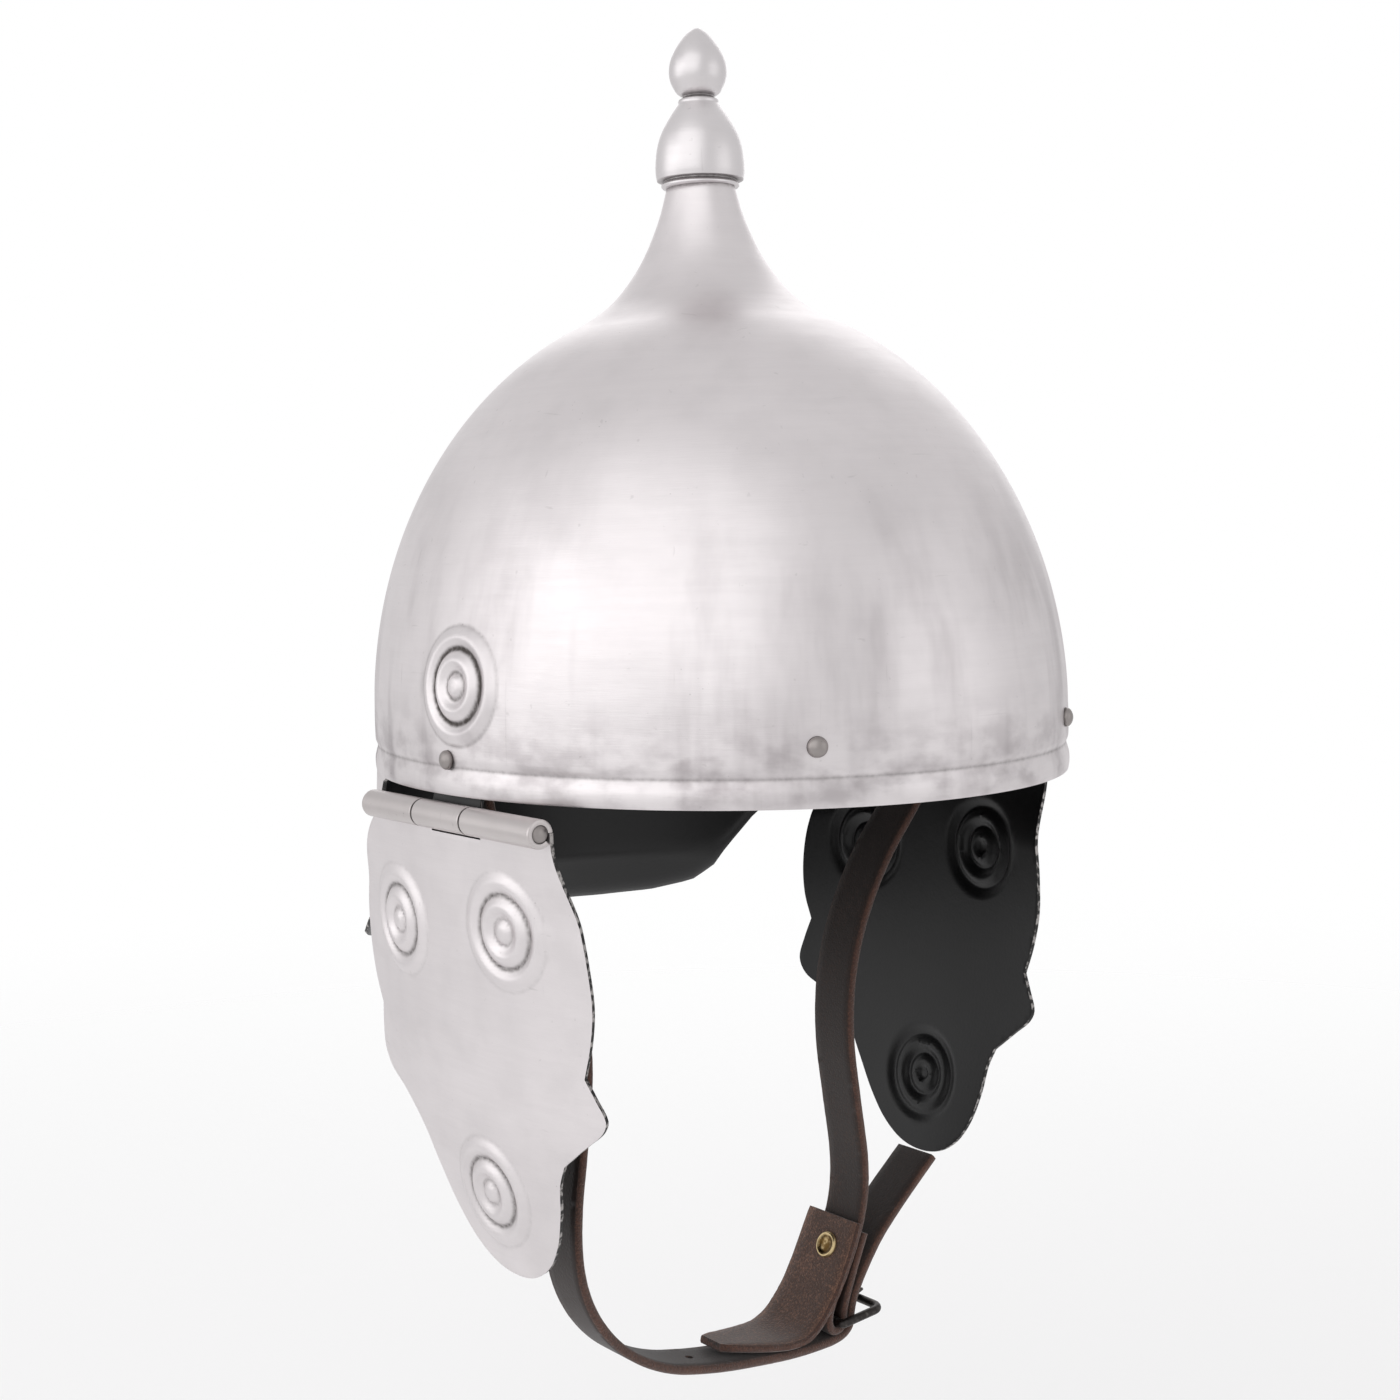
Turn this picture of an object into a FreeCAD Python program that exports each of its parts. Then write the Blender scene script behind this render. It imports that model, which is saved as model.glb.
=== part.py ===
"""Steel helmet with hinged cheek plates, turned finial, leather liner and buckled chin strap.

Frame: origin at the centre of the rim's lower edge, +Z up, front towards -Y, wearer's right at -X.
All sizes are millimetres.
"""
import FreeCAD, Part
import math
import os

V = FreeCAD.Vector
X_AXIS = V(1, 0, 0)
Y_AXIS = V(0, 1, 0)
Z_AXIS = V(0, 0, 1)
ORIGIN = V(0, 0, 0)

# ---- driving dimensions ------------------------------------------------------------------------
# bowl
SHEET = 1.25                 # steel thickness of the bowl
BOWL_RADIUS = 114.0          # mean outer radius of the oval bowl at its widest
OVALITY = 1.0766             # length of the oval over its mean diameter, and the inverse for its width
DOME_BASE_Z = 17.5           # height of the widest section above the rim
DOME_HEIGHT = 134.3          # half height of the ellipse that the dome follows
NECK_START = 0.938           # share of the dome's height where it turns up into the neck
NECK_RISE = 42.7             # from there to the flat top, the finial's seat
NECK_TOP_RADIUS = 11.15
RIM_BAND_HEIGHT = 8.0        # flared band along the rim
RIM_GROOVE_DEPTH = 0.6
# neck guard at the rear
GUARD_CREASE_Z = -50.0
GUARD_CREASE_FLARE = 3.0     # how far the skirt leans out by the crease
GUARD_DROP = 68.0            # lowest point of the guard under the rim
GUARD_LIP_FLARE = 15.0       # how far the guard's lip stands out past the rim
GUARD_FRONT_Y = 46.0         # where the guard leaves the rim
# embossed bosses
BOSS_RADIUS = 18.0
BOSS_HEIGHT = 2.4
BOSS_LAP = 0.8               # sheet left under the boss's edge
BOSS_SUNK = 0.5              # boss's edge below the sheet's outer face
TEMPLE_BOSS_Y = -10.3
TEMPLE_BOSS_Z = 32.5
# finial
BULB_RADIUS = 14.4
BULB_HEIGHT = 28.6
KNOB_RADIUS = 9.35
KNOB_HEIGHT = 22.0
THROAT_RADIUS = 5.1          # where the two bulbs meet
COLLAR_RADIUS = 12.6
STUD_DIAMETER = 6.0
THREAD_CLEARANCE = 0.05
NUT_ACROSS_FLATS = 10.0
NUT_HEIGHT = 5.0
WASHER_RADIUS = 7.5
WASHER_THICKNESS = 1.2
# hinges of the cheek plates
HINGE_STANDOFF = 1.1         # hinge axis out past the bowl's widest width
HINGE_Z = -6.3
KNUCKLE_DIAMETER = 8.5
PIN_DIAMETER = 5.0
PIN_CLEARANCE = 0.05         # radial running clearance of the pins
KNUCKLE_GAP = 0.35           # axial gap between neighbouring knuckles
HINGE_REAR_Y = 37.5
HINGE_MID_REAR_Y = 8.0
HINGE_MID_FRONT_Y = -18.6
HINGE_FRONT_Y = -54.6
LEAF_THICKNESS = 1.15
LEAF_TOP_Z = 19.0
LEAF_SEAT_GAP = 0.08         # leaf's outer face to the wall
# cheek plates
CHEEK_SHEET = 1.2
CHEEK_SPAN_RADIUS = 260.0    # horizontal curvature once clear of the hinge
CHEEK_CENTRE_Y = 4.4
CHEEK_TUCK = 0.00074         # inward curve of the plate per square millimetre below the hinge
CHEEK_FLAT_Z = -9.0          # the plate is flat across down to here
CHEEK_CURVED_Z = -36.0       # and fully curved from here down
SLOT_CLEARANCE = 1.6
CHEEK_BOSSES = ((32.3, -43.2), (-26.3, -38.7), (-3.3, -124.0))   # (y, z) of their centres
# rivets
RIVET_HEAD_RADIUS = 3.0
RIVET_HEAD_HEIGHT = 2.4
RIVET_SHANK_RADIUS = 2.0
RIVET_CLEARANCE = 0.05
TAIL_HEIGHT = 0.9            # clenched end inside
BURR_GAP = 0.3               # burr to the curved liner
BURR_RADIUS = 4.5
BURR_THICKNESS = 1.0
RIM_RIVET_Z = 17.0
HINGE_RIVET_Z = 10.5
RIVET_SEAT_GAP = 0.2
RIM_RIVET_ANGLES = (-25.5, 25.5, 150.0, -150.0)   # degrees round from the front
# liner
LINER_THICKNESS = 2.0
LINER_END_GAP = 0.9          # liner to wall at the front and rear
LINER_BAND_BOTTOM_Z = 3.0
LINER_DOME_BASE_Z = 20.0
LINER_CROWN_GAP = 22.3       # how much lower the liner's dome is than the bowl's
LINER_TIP = 0.884            # share of the liner dome's height that the tongues reach
LINER_SLIT = 4.0
LINER_SLIT_BOTTOM_Z = 46.0
HEM_RADIUS = 2.2
THONG_RADIUS = 0.8
THONG_CLEARANCE = 0.2
# chin strap
STRAP_WIDTH = 18.0
STRAP_THICKNESS = 3.0
STRAP_CENTRE_Y = -3.5
LAYER_GAP = 0.3              # clearance between leather layers, and to metal
# buckle
BUCKLE_WIRE = 3.0
BUCKLE_HEEL = (40.5, -200.5)
BUCKLE_REACH = 18.5          # heel bar to toe bar
BUCKLE_TILT = 3.0
BUCKLE_SIDE_GAP = 1.0        # strap edge to frame
PRONG_DIAMETER = 2.2
PRONG_SLOT_WIDTH = 5.0
PRONG_HOLE = (8.0, 3.6)      # worn oval hole that the prong stands in
PUNCH_RADIUS = 1.5
# guard and its rivet
GUARD_WIDTH = 27.0
GUARD_TIP_WIDTH = 12.0
GUARD_THICKNESS = 2.6
CAP_RADIUS = 4.5
CAP_HEIGHT = 1.4
CAP_POST_RADIUS = 1.6
CAP_SEAT_GAP = 0.3
GUARD_ABOVE_CAP = 10.5
CAP_OFFSET = 6.6             # rivet's distance up the run from the elbow
FOLD_BACK = 14.5             # strap beyond the elbow on its way back

# ---- worked out from them ----------------------------------------------------------------------
SQUEEZE = 1.0 / OVALITY
HALF_WIDTH = BOWL_RADIUS * SQUEEZE
HALF_LENGTH = BOWL_RADIUS * OVALITY
NECK_START_Z = DOME_BASE_Z + NECK_START * DOME_HEIGHT
NECK_TOP_Z = NECK_START_Z + NECK_RISE
HINGE_X = HALF_WIDTH + HINGE_STANDOFF
GROOVE_RADIUS = BOWL_RADIUS - SHEET - RIM_GROOVE_DEPTH
GROOVE_WIDTH_SHARE = math.sqrt(1.0 - (HINGE_MID_FRONT_Y / (GROOVE_RADIUS * OVALITY)) ** 2)
LEAF_FACE_X = GROOVE_RADIUS * SQUEEZE * GROOVE_WIDTH_SHARE - LEAF_SEAT_GAP
LINER_HALF_WIDTH = LEAF_FACE_X - LEAF_THICKNESS - LAYER_GAP
LINER_HALF_LENGTH = GROOVE_RADIUS * OVALITY - LINER_END_GAP
LINER_RADIUS = (LINER_HALF_WIDTH + LINER_HALF_LENGTH) / 2
LINER_INNER = 1.0 - LINER_THICKNESS / LINER_RADIUS
LINER_DOME_HEIGHT = DOME_HEIGHT - LINER_CROWN_GAP
LINER_TIP_Z = LINER_DOME_BASE_Z + LINER_TIP * LINER_DOME_HEIGHT
SLOT_FRONT = HINGE_MID_FRONT_Y - KNUCKLE_GAP / 2
SLOT_REAR = HINGE_MID_REAR_Y + KNUCKLE_GAP / 2
STRAP_TOP_Z = HINGE_RIVET_Z + 8.0
HEEL = V(BUCKLE_HEEL[0], 0, BUCKLE_HEEL[1])
FOLD_RADIUS = BUCKLE_WIRE / 2 + LAYER_GAP + STRAP_THICKNESS / 2
LAYER_PITCH = STRAP_THICKNESS + LAYER_GAP
STRAP_UPPER = V(54.5, 0, -164.8)     # ends of the left strap's last straight run above the buckle
STRAP_ELBOW = V(45.5, 0, -184.0)
STRAP_RUN = (STRAP_UPPER - STRAP_ELBOW).normalize()


# ---- small helpers -----------------------------------------------------------------------------
def segment(start, end):
    return Part.LineSegment(start, end).toShape()


def arc(start, middle, end):
    return Part.Arc(start, middle, end).toShape()


def spline(points):
    curve = Part.BSplineCurve()
    curve.interpolate(Points=points)
    return curve.toShape()


def section(pairs):
    """Closed polygon wire in the XZ plane from (x, z) pairs."""
    points = [V(x, 0, z) for x, z in pairs]
    return Part.makePolygon(points + points[:1])


def turned(wire):
    """Solid of revolution about Z from a closed wire in the XZ plane."""
    return Part.Face(wire).revolve(ORIGIN, Z_AXIS, 360)


def stretched(shape, along_x, along_y):
    matrix = FreeCAD.Matrix()
    matrix.scale(along_x, along_y, 1.0)
    return shape.transformGeometry(matrix)


def aimed(shape, point, direction):
    """Copy of a shape built on +Z, moved to a point with its axis along a direction."""
    placed = shape.copy()
    placed.Placement = FreeCAD.Placement(point, FreeCAD.Rotation(Z_AXIS, direction))
    return placed


def rod(radius, start, end):
    run = end - start
    return Part.makeCylinder(radius, run.Length, start, run)


def mirrored(shape):
    return shape.mirror(ORIGIN, X_AXIS)


def export(name, *solids):
    """Write one node and print what it holds."""
    pieces = []
    for shape in solids:
        pieces.extend(shape.removeSplitter().Solids)
    for solid in pieces:
        if not solid.isValid():
            raise ValueError(name + " holds an invalid solid")
    shape = pieces[0] if len(pieces) == 1 else Part.makeCompound(pieces)
    shape.exportStep("parts/" + name + ".step")
    volume = sum(solid.Volume for solid in pieces)
    print("%-22s solids %2d  volume %10.1f mm3" % (name, len(pieces), volume))


# ---- bowl --------------------------------------------------------------------------------------
def dome_radius(z, inset=0.0):
    """Mean radius of the dome's ellipse at a height, drawn in by a wall thickness."""
    share = (z - DOME_BASE_Z) / (DOME_HEIGHT - inset)
    return (BOWL_RADIUS - inset) * math.sqrt(1.0 - share * share)


def neck_edge(inset):
    """Concave neck from the dome's shoulder to its flat top, as one smooth curve."""
    rise = NECK_TOP_Z - NECK_START_Z
    drop = dome_radius(NECK_START_Z) - NECK_TOP_RADIUS
    stations = ((1.0, 0.0), (0.66, 0.16), (0.33, 0.44), (0.10, 0.77), (0.0, 1.0))
    outer = [V(NECK_TOP_RADIUS + drop * across, 0, NECK_START_Z + rise * up) for across, up in stations]
    ratio = BOWL_RADIUS / DOME_HEIGHT
    fall = ratio * ratio * (NECK_START_Z - DOME_BASE_Z) / dome_radius(NECK_START_Z)
    leave = V(-fall, 0, 1.0).normalize()
    finish = V(-0.24, 0, 0.97)
    curve = Part.BSplineCurve()
    curve.interpolate(Points=outer, InitialTangent=leave, FinalTangent=finish)
    if not inset:
        return curve.toShape()
    points = [V(dome_radius(NECK_START_Z, inset), 0, NECK_START_Z)]
    for point in outer[1:-1]:
        tangent = curve.tangent(curve.parameter(point))[0]
        points.append(point + V(-tangent.z, 0, tangent.x) * inset)
    points.append(V(NECK_TOP_RADIUS - inset, 0, NECK_TOP_Z - inset))
    inner = Part.BSplineCurve()
    inner.interpolate(Points=points, InitialTangent=leave, FinalTangent=finish)
    return inner.toShape()


def dome_edge(inset):
    """Elliptical arc from the widest section up to the neck."""
    radius = BOWL_RADIUS - inset
    side = V(radius, 0, DOME_BASE_Z)
    top = V(0, 0, DOME_BASE_Z + DOME_HEIGHT - inset)
    longer, shorter = (top, side) if DOME_HEIGHT - inset > radius else (side, top)
    ellipse = Part.Ellipse(longer, shorter, V(0, 0, DOME_BASE_Z))
    base = ellipse.parameter(side)
    shoulder = ellipse.parameter(V(dome_radius(NECK_START_Z, inset), 0, NECK_START_Z))
    if shoulder < base:
        base, shoulder = shoulder, base
    return Part.ArcOfEllipse(ellipse, base, shoulder).toShape()


def bowl_solid(inset):
    """Filled bowl with a skirt all the way round, inset by a wall thickness."""
    rim = BOWL_RADIUS - 0.1 - inset
    points = [V(0, 0, -GUARD_DROP), V(rim + GUARD_LIP_FLARE, 0, -GUARD_DROP)]
    points.append(V(rim + GUARD_CREASE_FLARE, 0, GUARD_CREASE_Z))
    points.append(V(rim, 0, 0))
    points.append(V(BOWL_RADIUS - inset - RIM_GROOVE_DEPTH, 0, RIM_BAND_HEIGHT))
    points.append(V(BOWL_RADIUS - inset, 0, RIM_BAND_HEIGHT + 1.6))
    points.append(V(BOWL_RADIUS - inset, 0, DOME_BASE_Z))
    edges = [segment(points[i], points[i + 1]) for i in range(len(points) - 1)]
    edges.append(dome_edge(inset))
    neck = neck_edge(inset)
    edges.append(neck)
    top = V(NECK_TOP_RADIUS - inset, 0, NECK_TOP_Z - inset)
    axis_top = V(0, 0, top.z)
    edges.append(segment(top, axis_top))
    edges.append(segment(axis_top, points[0]))
    return stretched(turned(Part.Wire(edges)), SQUEEZE, OVALITY)


def guard_trim():
    """Everything below the rim and outside the neck guard's side outline."""
    reach = HALF_LENGTH - GUARD_FRONT_Y
    drop = GUARD_DROP
    edge = [V(0, GUARD_FRONT_Y, 0)]
    shares = ((0.19, 0.26), (0.42, 0.51), (0.60, 0.79), (0.76, 0.92), (0.93, 0.98), (1.08, 1.0))
    for along, down in shares:
        edge.append(V(0, GUARD_FRONT_Y + reach * along, -drop * down))
    corner = 3
    wires = [spline(edge[:corner + 1]), spline(edge[corner:])]
    far = HALF_LENGTH + 60
    ends = [edge[-1], V(0, far, -drop), V(0, far, -2 * drop), V(0, -far, -2 * drop), V(0, -far, 0), edge[0]]
    wires.extend(segment(ends[i], ends[i + 1]) for i in range(len(ends) - 1))
    face = Part.Face(Part.Wire(wires))
    return face.extrude(V(2 * far, 0, 0)).translate(V(-far, 0, 0))


def boss_profile(inset):
    """Radial section of an embossed boss: knob, ring and outer ring with grooves between."""
    rises = ((0.0, 1.0), (0.15, 0.78), (0.29, 0.12), (0.46, 1.0), (0.65, 0.15), (0.81, 0.95), (1.0, 0.0))
    points = [V(BOSS_RADIUS * out, 0, BOSS_HEIGHT * up - inset) for out, up in rises]
    curve = Part.BSplineCurve()
    curve.interpolate(Points=points, InitialTangent=X_AXIS, FinalTangent=V(0.8, 0, -0.6))
    return curve.toShape(), points[0], points[-1]


def boss(point, normal, sheet):
    """Embossed shell that replaces a disc of sheet, its rim level with the sheet's outer face."""
    over, over_start, over_end = boss_profile(0.0)
    under, under_start, under_end = boss_profile(sheet)
    wire = Part.Wire([over, segment(over_end, under_end), under, segment(under_start, over_start)])
    return aimed(turned(wire), point, normal)


def rivet_site(angle, z):
    """Point and outward normal on the upright wall at an angle round from the front."""
    turn = math.radians(angle)
    reach = 1.0 / math.hypot(math.sin(turn) / HALF_WIDTH, math.cos(turn) / HALF_LENGTH)
    point = V(reach * math.sin(turn), -reach * math.cos(turn), z)
    normal = V(point.x / HALF_WIDTH ** 2, point.y / HALF_LENGTH ** 2, 0).normalize()
    return point, normal


def hinge_site(side):
    """Where the rivet of one hinge passes the wall."""
    y = (HINGE_MID_REAR_Y + HINGE_MID_FRONT_Y) / 2
    x = HALF_WIDTH * math.sqrt(1 - (y / HALF_LENGTH) ** 2) + RIVET_SEAT_GAP
    return V(side * x, y, HINGE_RIVET_Z), V(side, 0, 0)


def temple_site(side):
    """Centre of a temple boss on the dome and the outward normal there."""
    height = (TEMPLE_BOSS_Z - DOME_BASE_Z) / DOME_HEIGHT
    x = side * HALF_WIDTH * math.sqrt(1 - (TEMPLE_BOSS_Y / HALF_LENGTH) ** 2 - height ** 2)
    normal = V(x / HALF_WIDTH ** 2, TEMPLE_BOSS_Y / HALF_LENGTH ** 2, height / DOME_HEIGHT).normalize()
    return V(x, TEMPLE_BOSS_Y, TEMPLE_BOSS_Z), normal


def rivet_sites():
    sites = [rivet_site(angle, RIM_RIVET_Z) for angle in RIM_RIVET_ANGLES]
    return sites, [hinge_site(-1), hinge_site(1)]


def make_bowl():
    bowl = bowl_solid(0.0).cut(bowl_solid(SHEET)).cut(guard_trim())
    stud_radius = STUD_DIAMETER / 2 + THREAD_CLEARANCE
    bowl = bowl.cut(rod(stud_radius, V(0, 0, NECK_TOP_Z - 5), V(0, 0, NECK_TOP_Z + 5)))
    for side in (-1, 1):
        point, normal = temple_site(side)
        bowl = bowl.cut(rod(BOSS_RADIUS - BOSS_LAP, point - normal * 8, point + normal * 4))
        bowl = bowl.fuse(boss(point - normal * BOSS_SUNK, normal, SHEET))
    rim_sites, hinge_sites = rivet_sites()
    for point, normal in rim_sites + hinge_sites:
        bowl = bowl.cut(rod(RIVET_SHANK_RADIUS + RIVET_CLEARANCE, point - normal * 6, point + normal * 6))
    export("bowl", bowl)


# ---- finial ------------------------------------------------------------------------------------
def bored(solid, low, high):
    return solid.cut(rod(STUD_DIAMETER / 2 + THREAD_CLEARANCE, V(0, 0, low), V(0, 0, high)))


def make_finial():
    base = NECK_TOP_Z
    groove = base + 2.4
    belly = base + 6.5
    shoulder = base + BULB_HEIGHT - 3.4
    top = base + BULB_HEIGHT
    edges = [segment(V(0, 0, base), V(COLLAR_RADIUS - 0.5, 0, base))]
    edges.append(arc(V(COLLAR_RADIUS - 0.5, 0, base), V(COLLAR_RADIUS, 0, base + 0.9),
                     V(COLLAR_RADIUS - 0.5, 0, base + 1.8)))
    edges.append(segment(V(COLLAR_RADIUS - 0.5, 0, base + 1.8), V(COLLAR_RADIUS - 0.5, 0, groove)))
    edges.append(segment(V(COLLAR_RADIUS - 0.5, 0, groove), V(BULB_RADIUS - 0.5, 0, groove)))
    flank = [V(BULB_RADIUS - 0.5, 0, groove), V(BULB_RADIUS, 0, belly - 1.5)]
    flank += [V(BULB_RADIUS * 0.90, 0, base + 15.6), V(BULB_RADIUS * 0.63, 0, base + 23.0)]
    flank.append(V(6.4, 0, shoulder + 1.8))
    edges.append(spline(flank))
    edges.append(segment(flank[-1], V(6.6, 0, top - 1.0)))
    edges.append(segment(V(6.6, 0, top - 1.0), V(THROAT_RADIUS, 0, top)))
    edges.append(segment(V(THROAT_RADIUS, 0, top), V(0, 0, top)))
    edges.append(segment(V(0, 0, top), V(0, 0, base)))
    bulb = turned(Part.Wire(edges))
    export("finial_lower_bulb", bored(bulb, base - 1, top + 1))

    tip = top + KNOB_HEIGHT
    flank = [V(THROAT_RADIUS, 0, top), V(KNOB_RADIUS * 0.86, 0, top + 3.2), V(KNOB_RADIUS, 0, top + 7.6),
             V(KNOB_RADIUS * 0.76, 0, top + 15.3), V(KNOB_RADIUS * 0.46, 0, top + 19.2), V(0, 0, tip)]
    edges = [spline(flank), segment(V(0, 0, tip), V(0, 0, top))]
    edges.append(segment(V(0, 0, top), V(THROAT_RADIUS, 0, top)))
    knob = turned(Part.Wire(edges))
    bore_top = top + 10.0
    export("finial_upper_bulb", bored(knob, top - 1, bore_top))

    ceiling = NECK_TOP_Z - SHEET
    washer_low = ceiling - WASHER_THICKNESS
    nut_low = washer_low - NUT_HEIGHT
    stud = rod(STUD_DIAMETER / 2, V(0, 0, nut_low - 2.0), V(0, 0, bore_top - 1.0))
    export("finial_stud", stud)
    washer = rod(WASHER_RADIUS, V(0, 0, washer_low), V(0, 0, ceiling))
    export("finial_washer", bored(washer, washer_low - 1, ceiling + 1))
    corner = NUT_ACROSS_FLATS / math.sqrt(3.0)
    turns = [math.radians(60 * i) for i in range(7)]
    hexagon = Part.makePolygon([V(corner * math.cos(turn), corner * math.sin(turn), nut_low) for turn in turns])
    nut = Part.Face(hexagon).extrude(V(0, 0, NUT_HEIGHT))
    export("finial_nut", bored(nut, nut_low - 1, washer_low + 1))


# ---- hinges and cheek plates -------------------------------------------------------------------
def knuckle(front, rear):
    """Rolled tube on the hinge axis between two y stations."""
    start = V(HINGE_X, front, HINGE_Z)
    end = V(HINGE_X, rear, HINGE_Z)
    bore = rod(PIN_DIAMETER / 2 + PIN_CLEARANCE, start - Y_AXIS, end + Y_AXIS)
    return rod(KNUCKLE_DIAMETER / 2, start, end).cut(bore)


def make_hinges():
    front = HINGE_MID_FRONT_Y + KNUCKLE_GAP / 2
    rear = HINGE_MID_REAR_Y - KNUCKLE_GAP / 2
    tangent = HINGE_X - KNUCKLE_DIAMETER / 2
    step = LEAF_FACE_X - LEAF_THICKNESS
    low = HINGE_Z + 2.6
    high = -0.6
    outline = [(tangent, HINGE_Z), (tangent + LEAF_THICKNESS, HINGE_Z), (tangent + LEAF_THICKNESS, low),
               (LEAF_FACE_X, high), (LEAF_FACE_X, LEAF_TOP_Z), (step, LEAF_TOP_Z), (step, high - 0.3),
               (tangent, low - 0.3)]
    plate = Part.Face(section(outline)).extrude(V(0, rear - front, 0)).translate(V(0, front, 0))
    bore = rod(PIN_DIAMETER / 2 + PIN_CLEARANCE, V(HINGE_X, front - 1, HINGE_Z), V(HINGE_X, rear + 1, HINGE_Z))
    leaf = plate.fuse(knuckle(front, rear)).cut(bore)
    site, normal = hinge_site(1)
    leaf = leaf.cut(rod(RIVET_SHANK_RADIUS + RIVET_CLEARANCE, site - normal * 8, site + normal))
    export("hinge_leaf_left", leaf)
    export("hinge_leaf_right", mirrored(leaf))

    crown = 0.8
    start = V(HINGE_X, HINGE_FRONT_Y - crown, HINGE_Z)
    end = V(HINGE_X, HINGE_REAR_Y + crown, HINGE_Z)
    pin = rod(PIN_DIAMETER / 2, start, end)
    pin = pin.makeChamfer(0.5, [pin.Edges[0], pin.Edges[2]])
    export("hinge_pin_left", pin)
    export("hinge_pin_right", mirrored(pin))


def cheek_x(y, z):
    """Half width of the left cheek plate's middle surface at a place."""
    top = HINGE_X - KNUCKLE_DIAMETER / 2 + CHEEK_SHEET / 2
    below = HINGE_Z - z
    blend = min(max((CHEEK_FLAT_Z - z) / (CHEEK_FLAT_Z - CHEEK_CURVED_Z), 0.0), 1.0)
    blend = blend * blend * (3 - 2 * blend)
    return top - CHEEK_TUCK * below * below - blend * (y - CHEEK_CENTRE_Y) ** 2 / (2 * CHEEK_SPAN_RADIUS)


def cheek_normal(y, z):
    step = 0.5
    slope_y = (cheek_x(y + step, z) - cheek_x(y - step, z)) / (2 * step)
    slope_z = (cheek_x(y, z + step) - cheek_x(y, z - step)) / (2 * step)
    return V(1, -slope_y, -slope_z).normalize()


def cheek_outline():
    """Scalloped outline of a cheek plate in the YZ plane, front towards -Y."""
    front = [(HINGE_FRONT_Y, HINGE_Z), (-54.9, -15), (-55.8, -28), (-58.2, -44), (-59.0, -57), (-57.0, -68),
             (-53.4, -78.5)]
    lobe = [(-53.4, -78.5), (-56.4, -84), (-59.4, -90.2), (-57.6, -94), (-50.5, -99.6), (-40.3, -107.6)]
    chin = [(-40.3, -107.6), (-37.2, -114), (-35.0, -124), (-31.0, -135), (-25.0, -143.5), (-16.5, -149),
            (-7.0, -150.6), (3.0, -149), (12.5, -143.5), (20.5, -135), (28.5, -123), (36.0, -111.5),
            (46.5, -102.5),
            (58.0, -96.5), (61.2, -91), (59.6, -83), (57.0, -75.3)]
    rear = [(57.0, -75.3), (60.6, -66), (62.0, -54), (60.4, -40), (55.0, -26.5), (46.8, -15),
            (HINGE_REAR_Y, HINGE_Z)]
    edges = [spline([V(0, y, z) for y, z in stretch]) for stretch in (front, lobe, chin, rear)]
    edges.append(segment(V(0, HINGE_REAR_Y, HINGE_Z), V(0, HINGE_FRONT_Y, HINGE_Z)))
    return Part.Wire(edges)


def cheek_sheet():
    """Curved sheet, larger than the plate, with the plate's middle surface inside it."""
    rows = []
    for i in range(15):
        y = -70.0 + 10.0 * i
        rows.append([V(cheek_x(y, z) - CHEEK_SHEET / 2, y, z) for z in range(-160, 4, 7)])
    surface = Part.BSplineSurface()
    surface.interpolate(rows)
    return surface.toShape().extrude(V(CHEEK_SHEET, 0, 0))


def make_cheeks():
    blank = Part.Face(cheek_outline()).extrude(V(60, 0, 0)).translate(V(HINGE_X - 50, 0, 0))
    plate = cheek_sheet().common(blank)
    slot_low = HINGE_Z - KNUCKLE_DIAMETER / 2 - SLOT_CLEARANCE
    plate = plate.cut(Part.makeBox(40, SLOT_REAR - SLOT_FRONT, 40, V(HINGE_X - 20, SLOT_FRONT, slot_low)))
    for y, z in CHEEK_BOSSES:
        normal = cheek_normal(y, z)
        point = V(cheek_x(y, z) + CHEEK_SHEET / 2, y, z)
        plate = plate.cut(rod(BOSS_RADIUS - BOSS_LAP, point - normal * 6, point + normal * 6))
        plate = plate.fuse(boss(point - normal * BOSS_SUNK * 0.4, normal, CHEEK_SHEET))
    for front, rear in ((HINGE_FRONT_Y, SLOT_FRONT), (SLOT_REAR, HINGE_REAR_Y)):
        plate = plate.fuse(knuckle(front, rear))
    bore = rod(PIN_DIAMETER / 2 + PIN_CLEARANCE, V(HINGE_X, -90, HINGE_Z), V(HINGE_X, 90, HINGE_Z))
    plate = plate.cut(bore)
    export("cheek_left", plate)
    export("cheek_right", mirrored(plate))


# ---- liner -------------------------------------------------------------------------------------
def liner_radius(z):
    share = max(z - LINER_DOME_BASE_Z, 0.0) / LINER_DOME_HEIGHT
    return LINER_RADIUS * math.sqrt(1.0 - share * share)


def liner_section():
    """Wall of the liner: an upright band that runs on into the tongues."""
    rise = LINER_TIP_Z - LINER_DOME_BASE_Z
    heights = [LINER_DOME_BASE_Z + rise * share for share in (0, 0.3, 0.55, 0.8, 1.0)]
    outer = [V(liner_radius(z), 0, z) for z in heights]
    inner = []
    for i, point in enumerate(outer):
        ahead = outer[min(i + 1, len(outer) - 1)]
        behind = outer[max(i - 1, 0)]
        tangent = Z_AXIS if i == 0 else (ahead - behind).normalize()
        inner.append(point + V(-tangent.z, 0, tangent.x) * LINER_THICKNESS)
    low_outer = V(outer[0].x, 0, LINER_BAND_BOTTOM_Z)
    low_inner = V(inner[0].x, 0, LINER_BAND_BOTTOM_Z)
    edges = [segment(low_outer, outer[0]), spline(outer), segment(outer[-1], inner[-1]), spline(inner)]
    edges.extend([segment(inner[0], low_inner), segment(low_inner, low_outer)])
    return Part.Wire(Part.__sortEdges__(edges))


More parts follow.
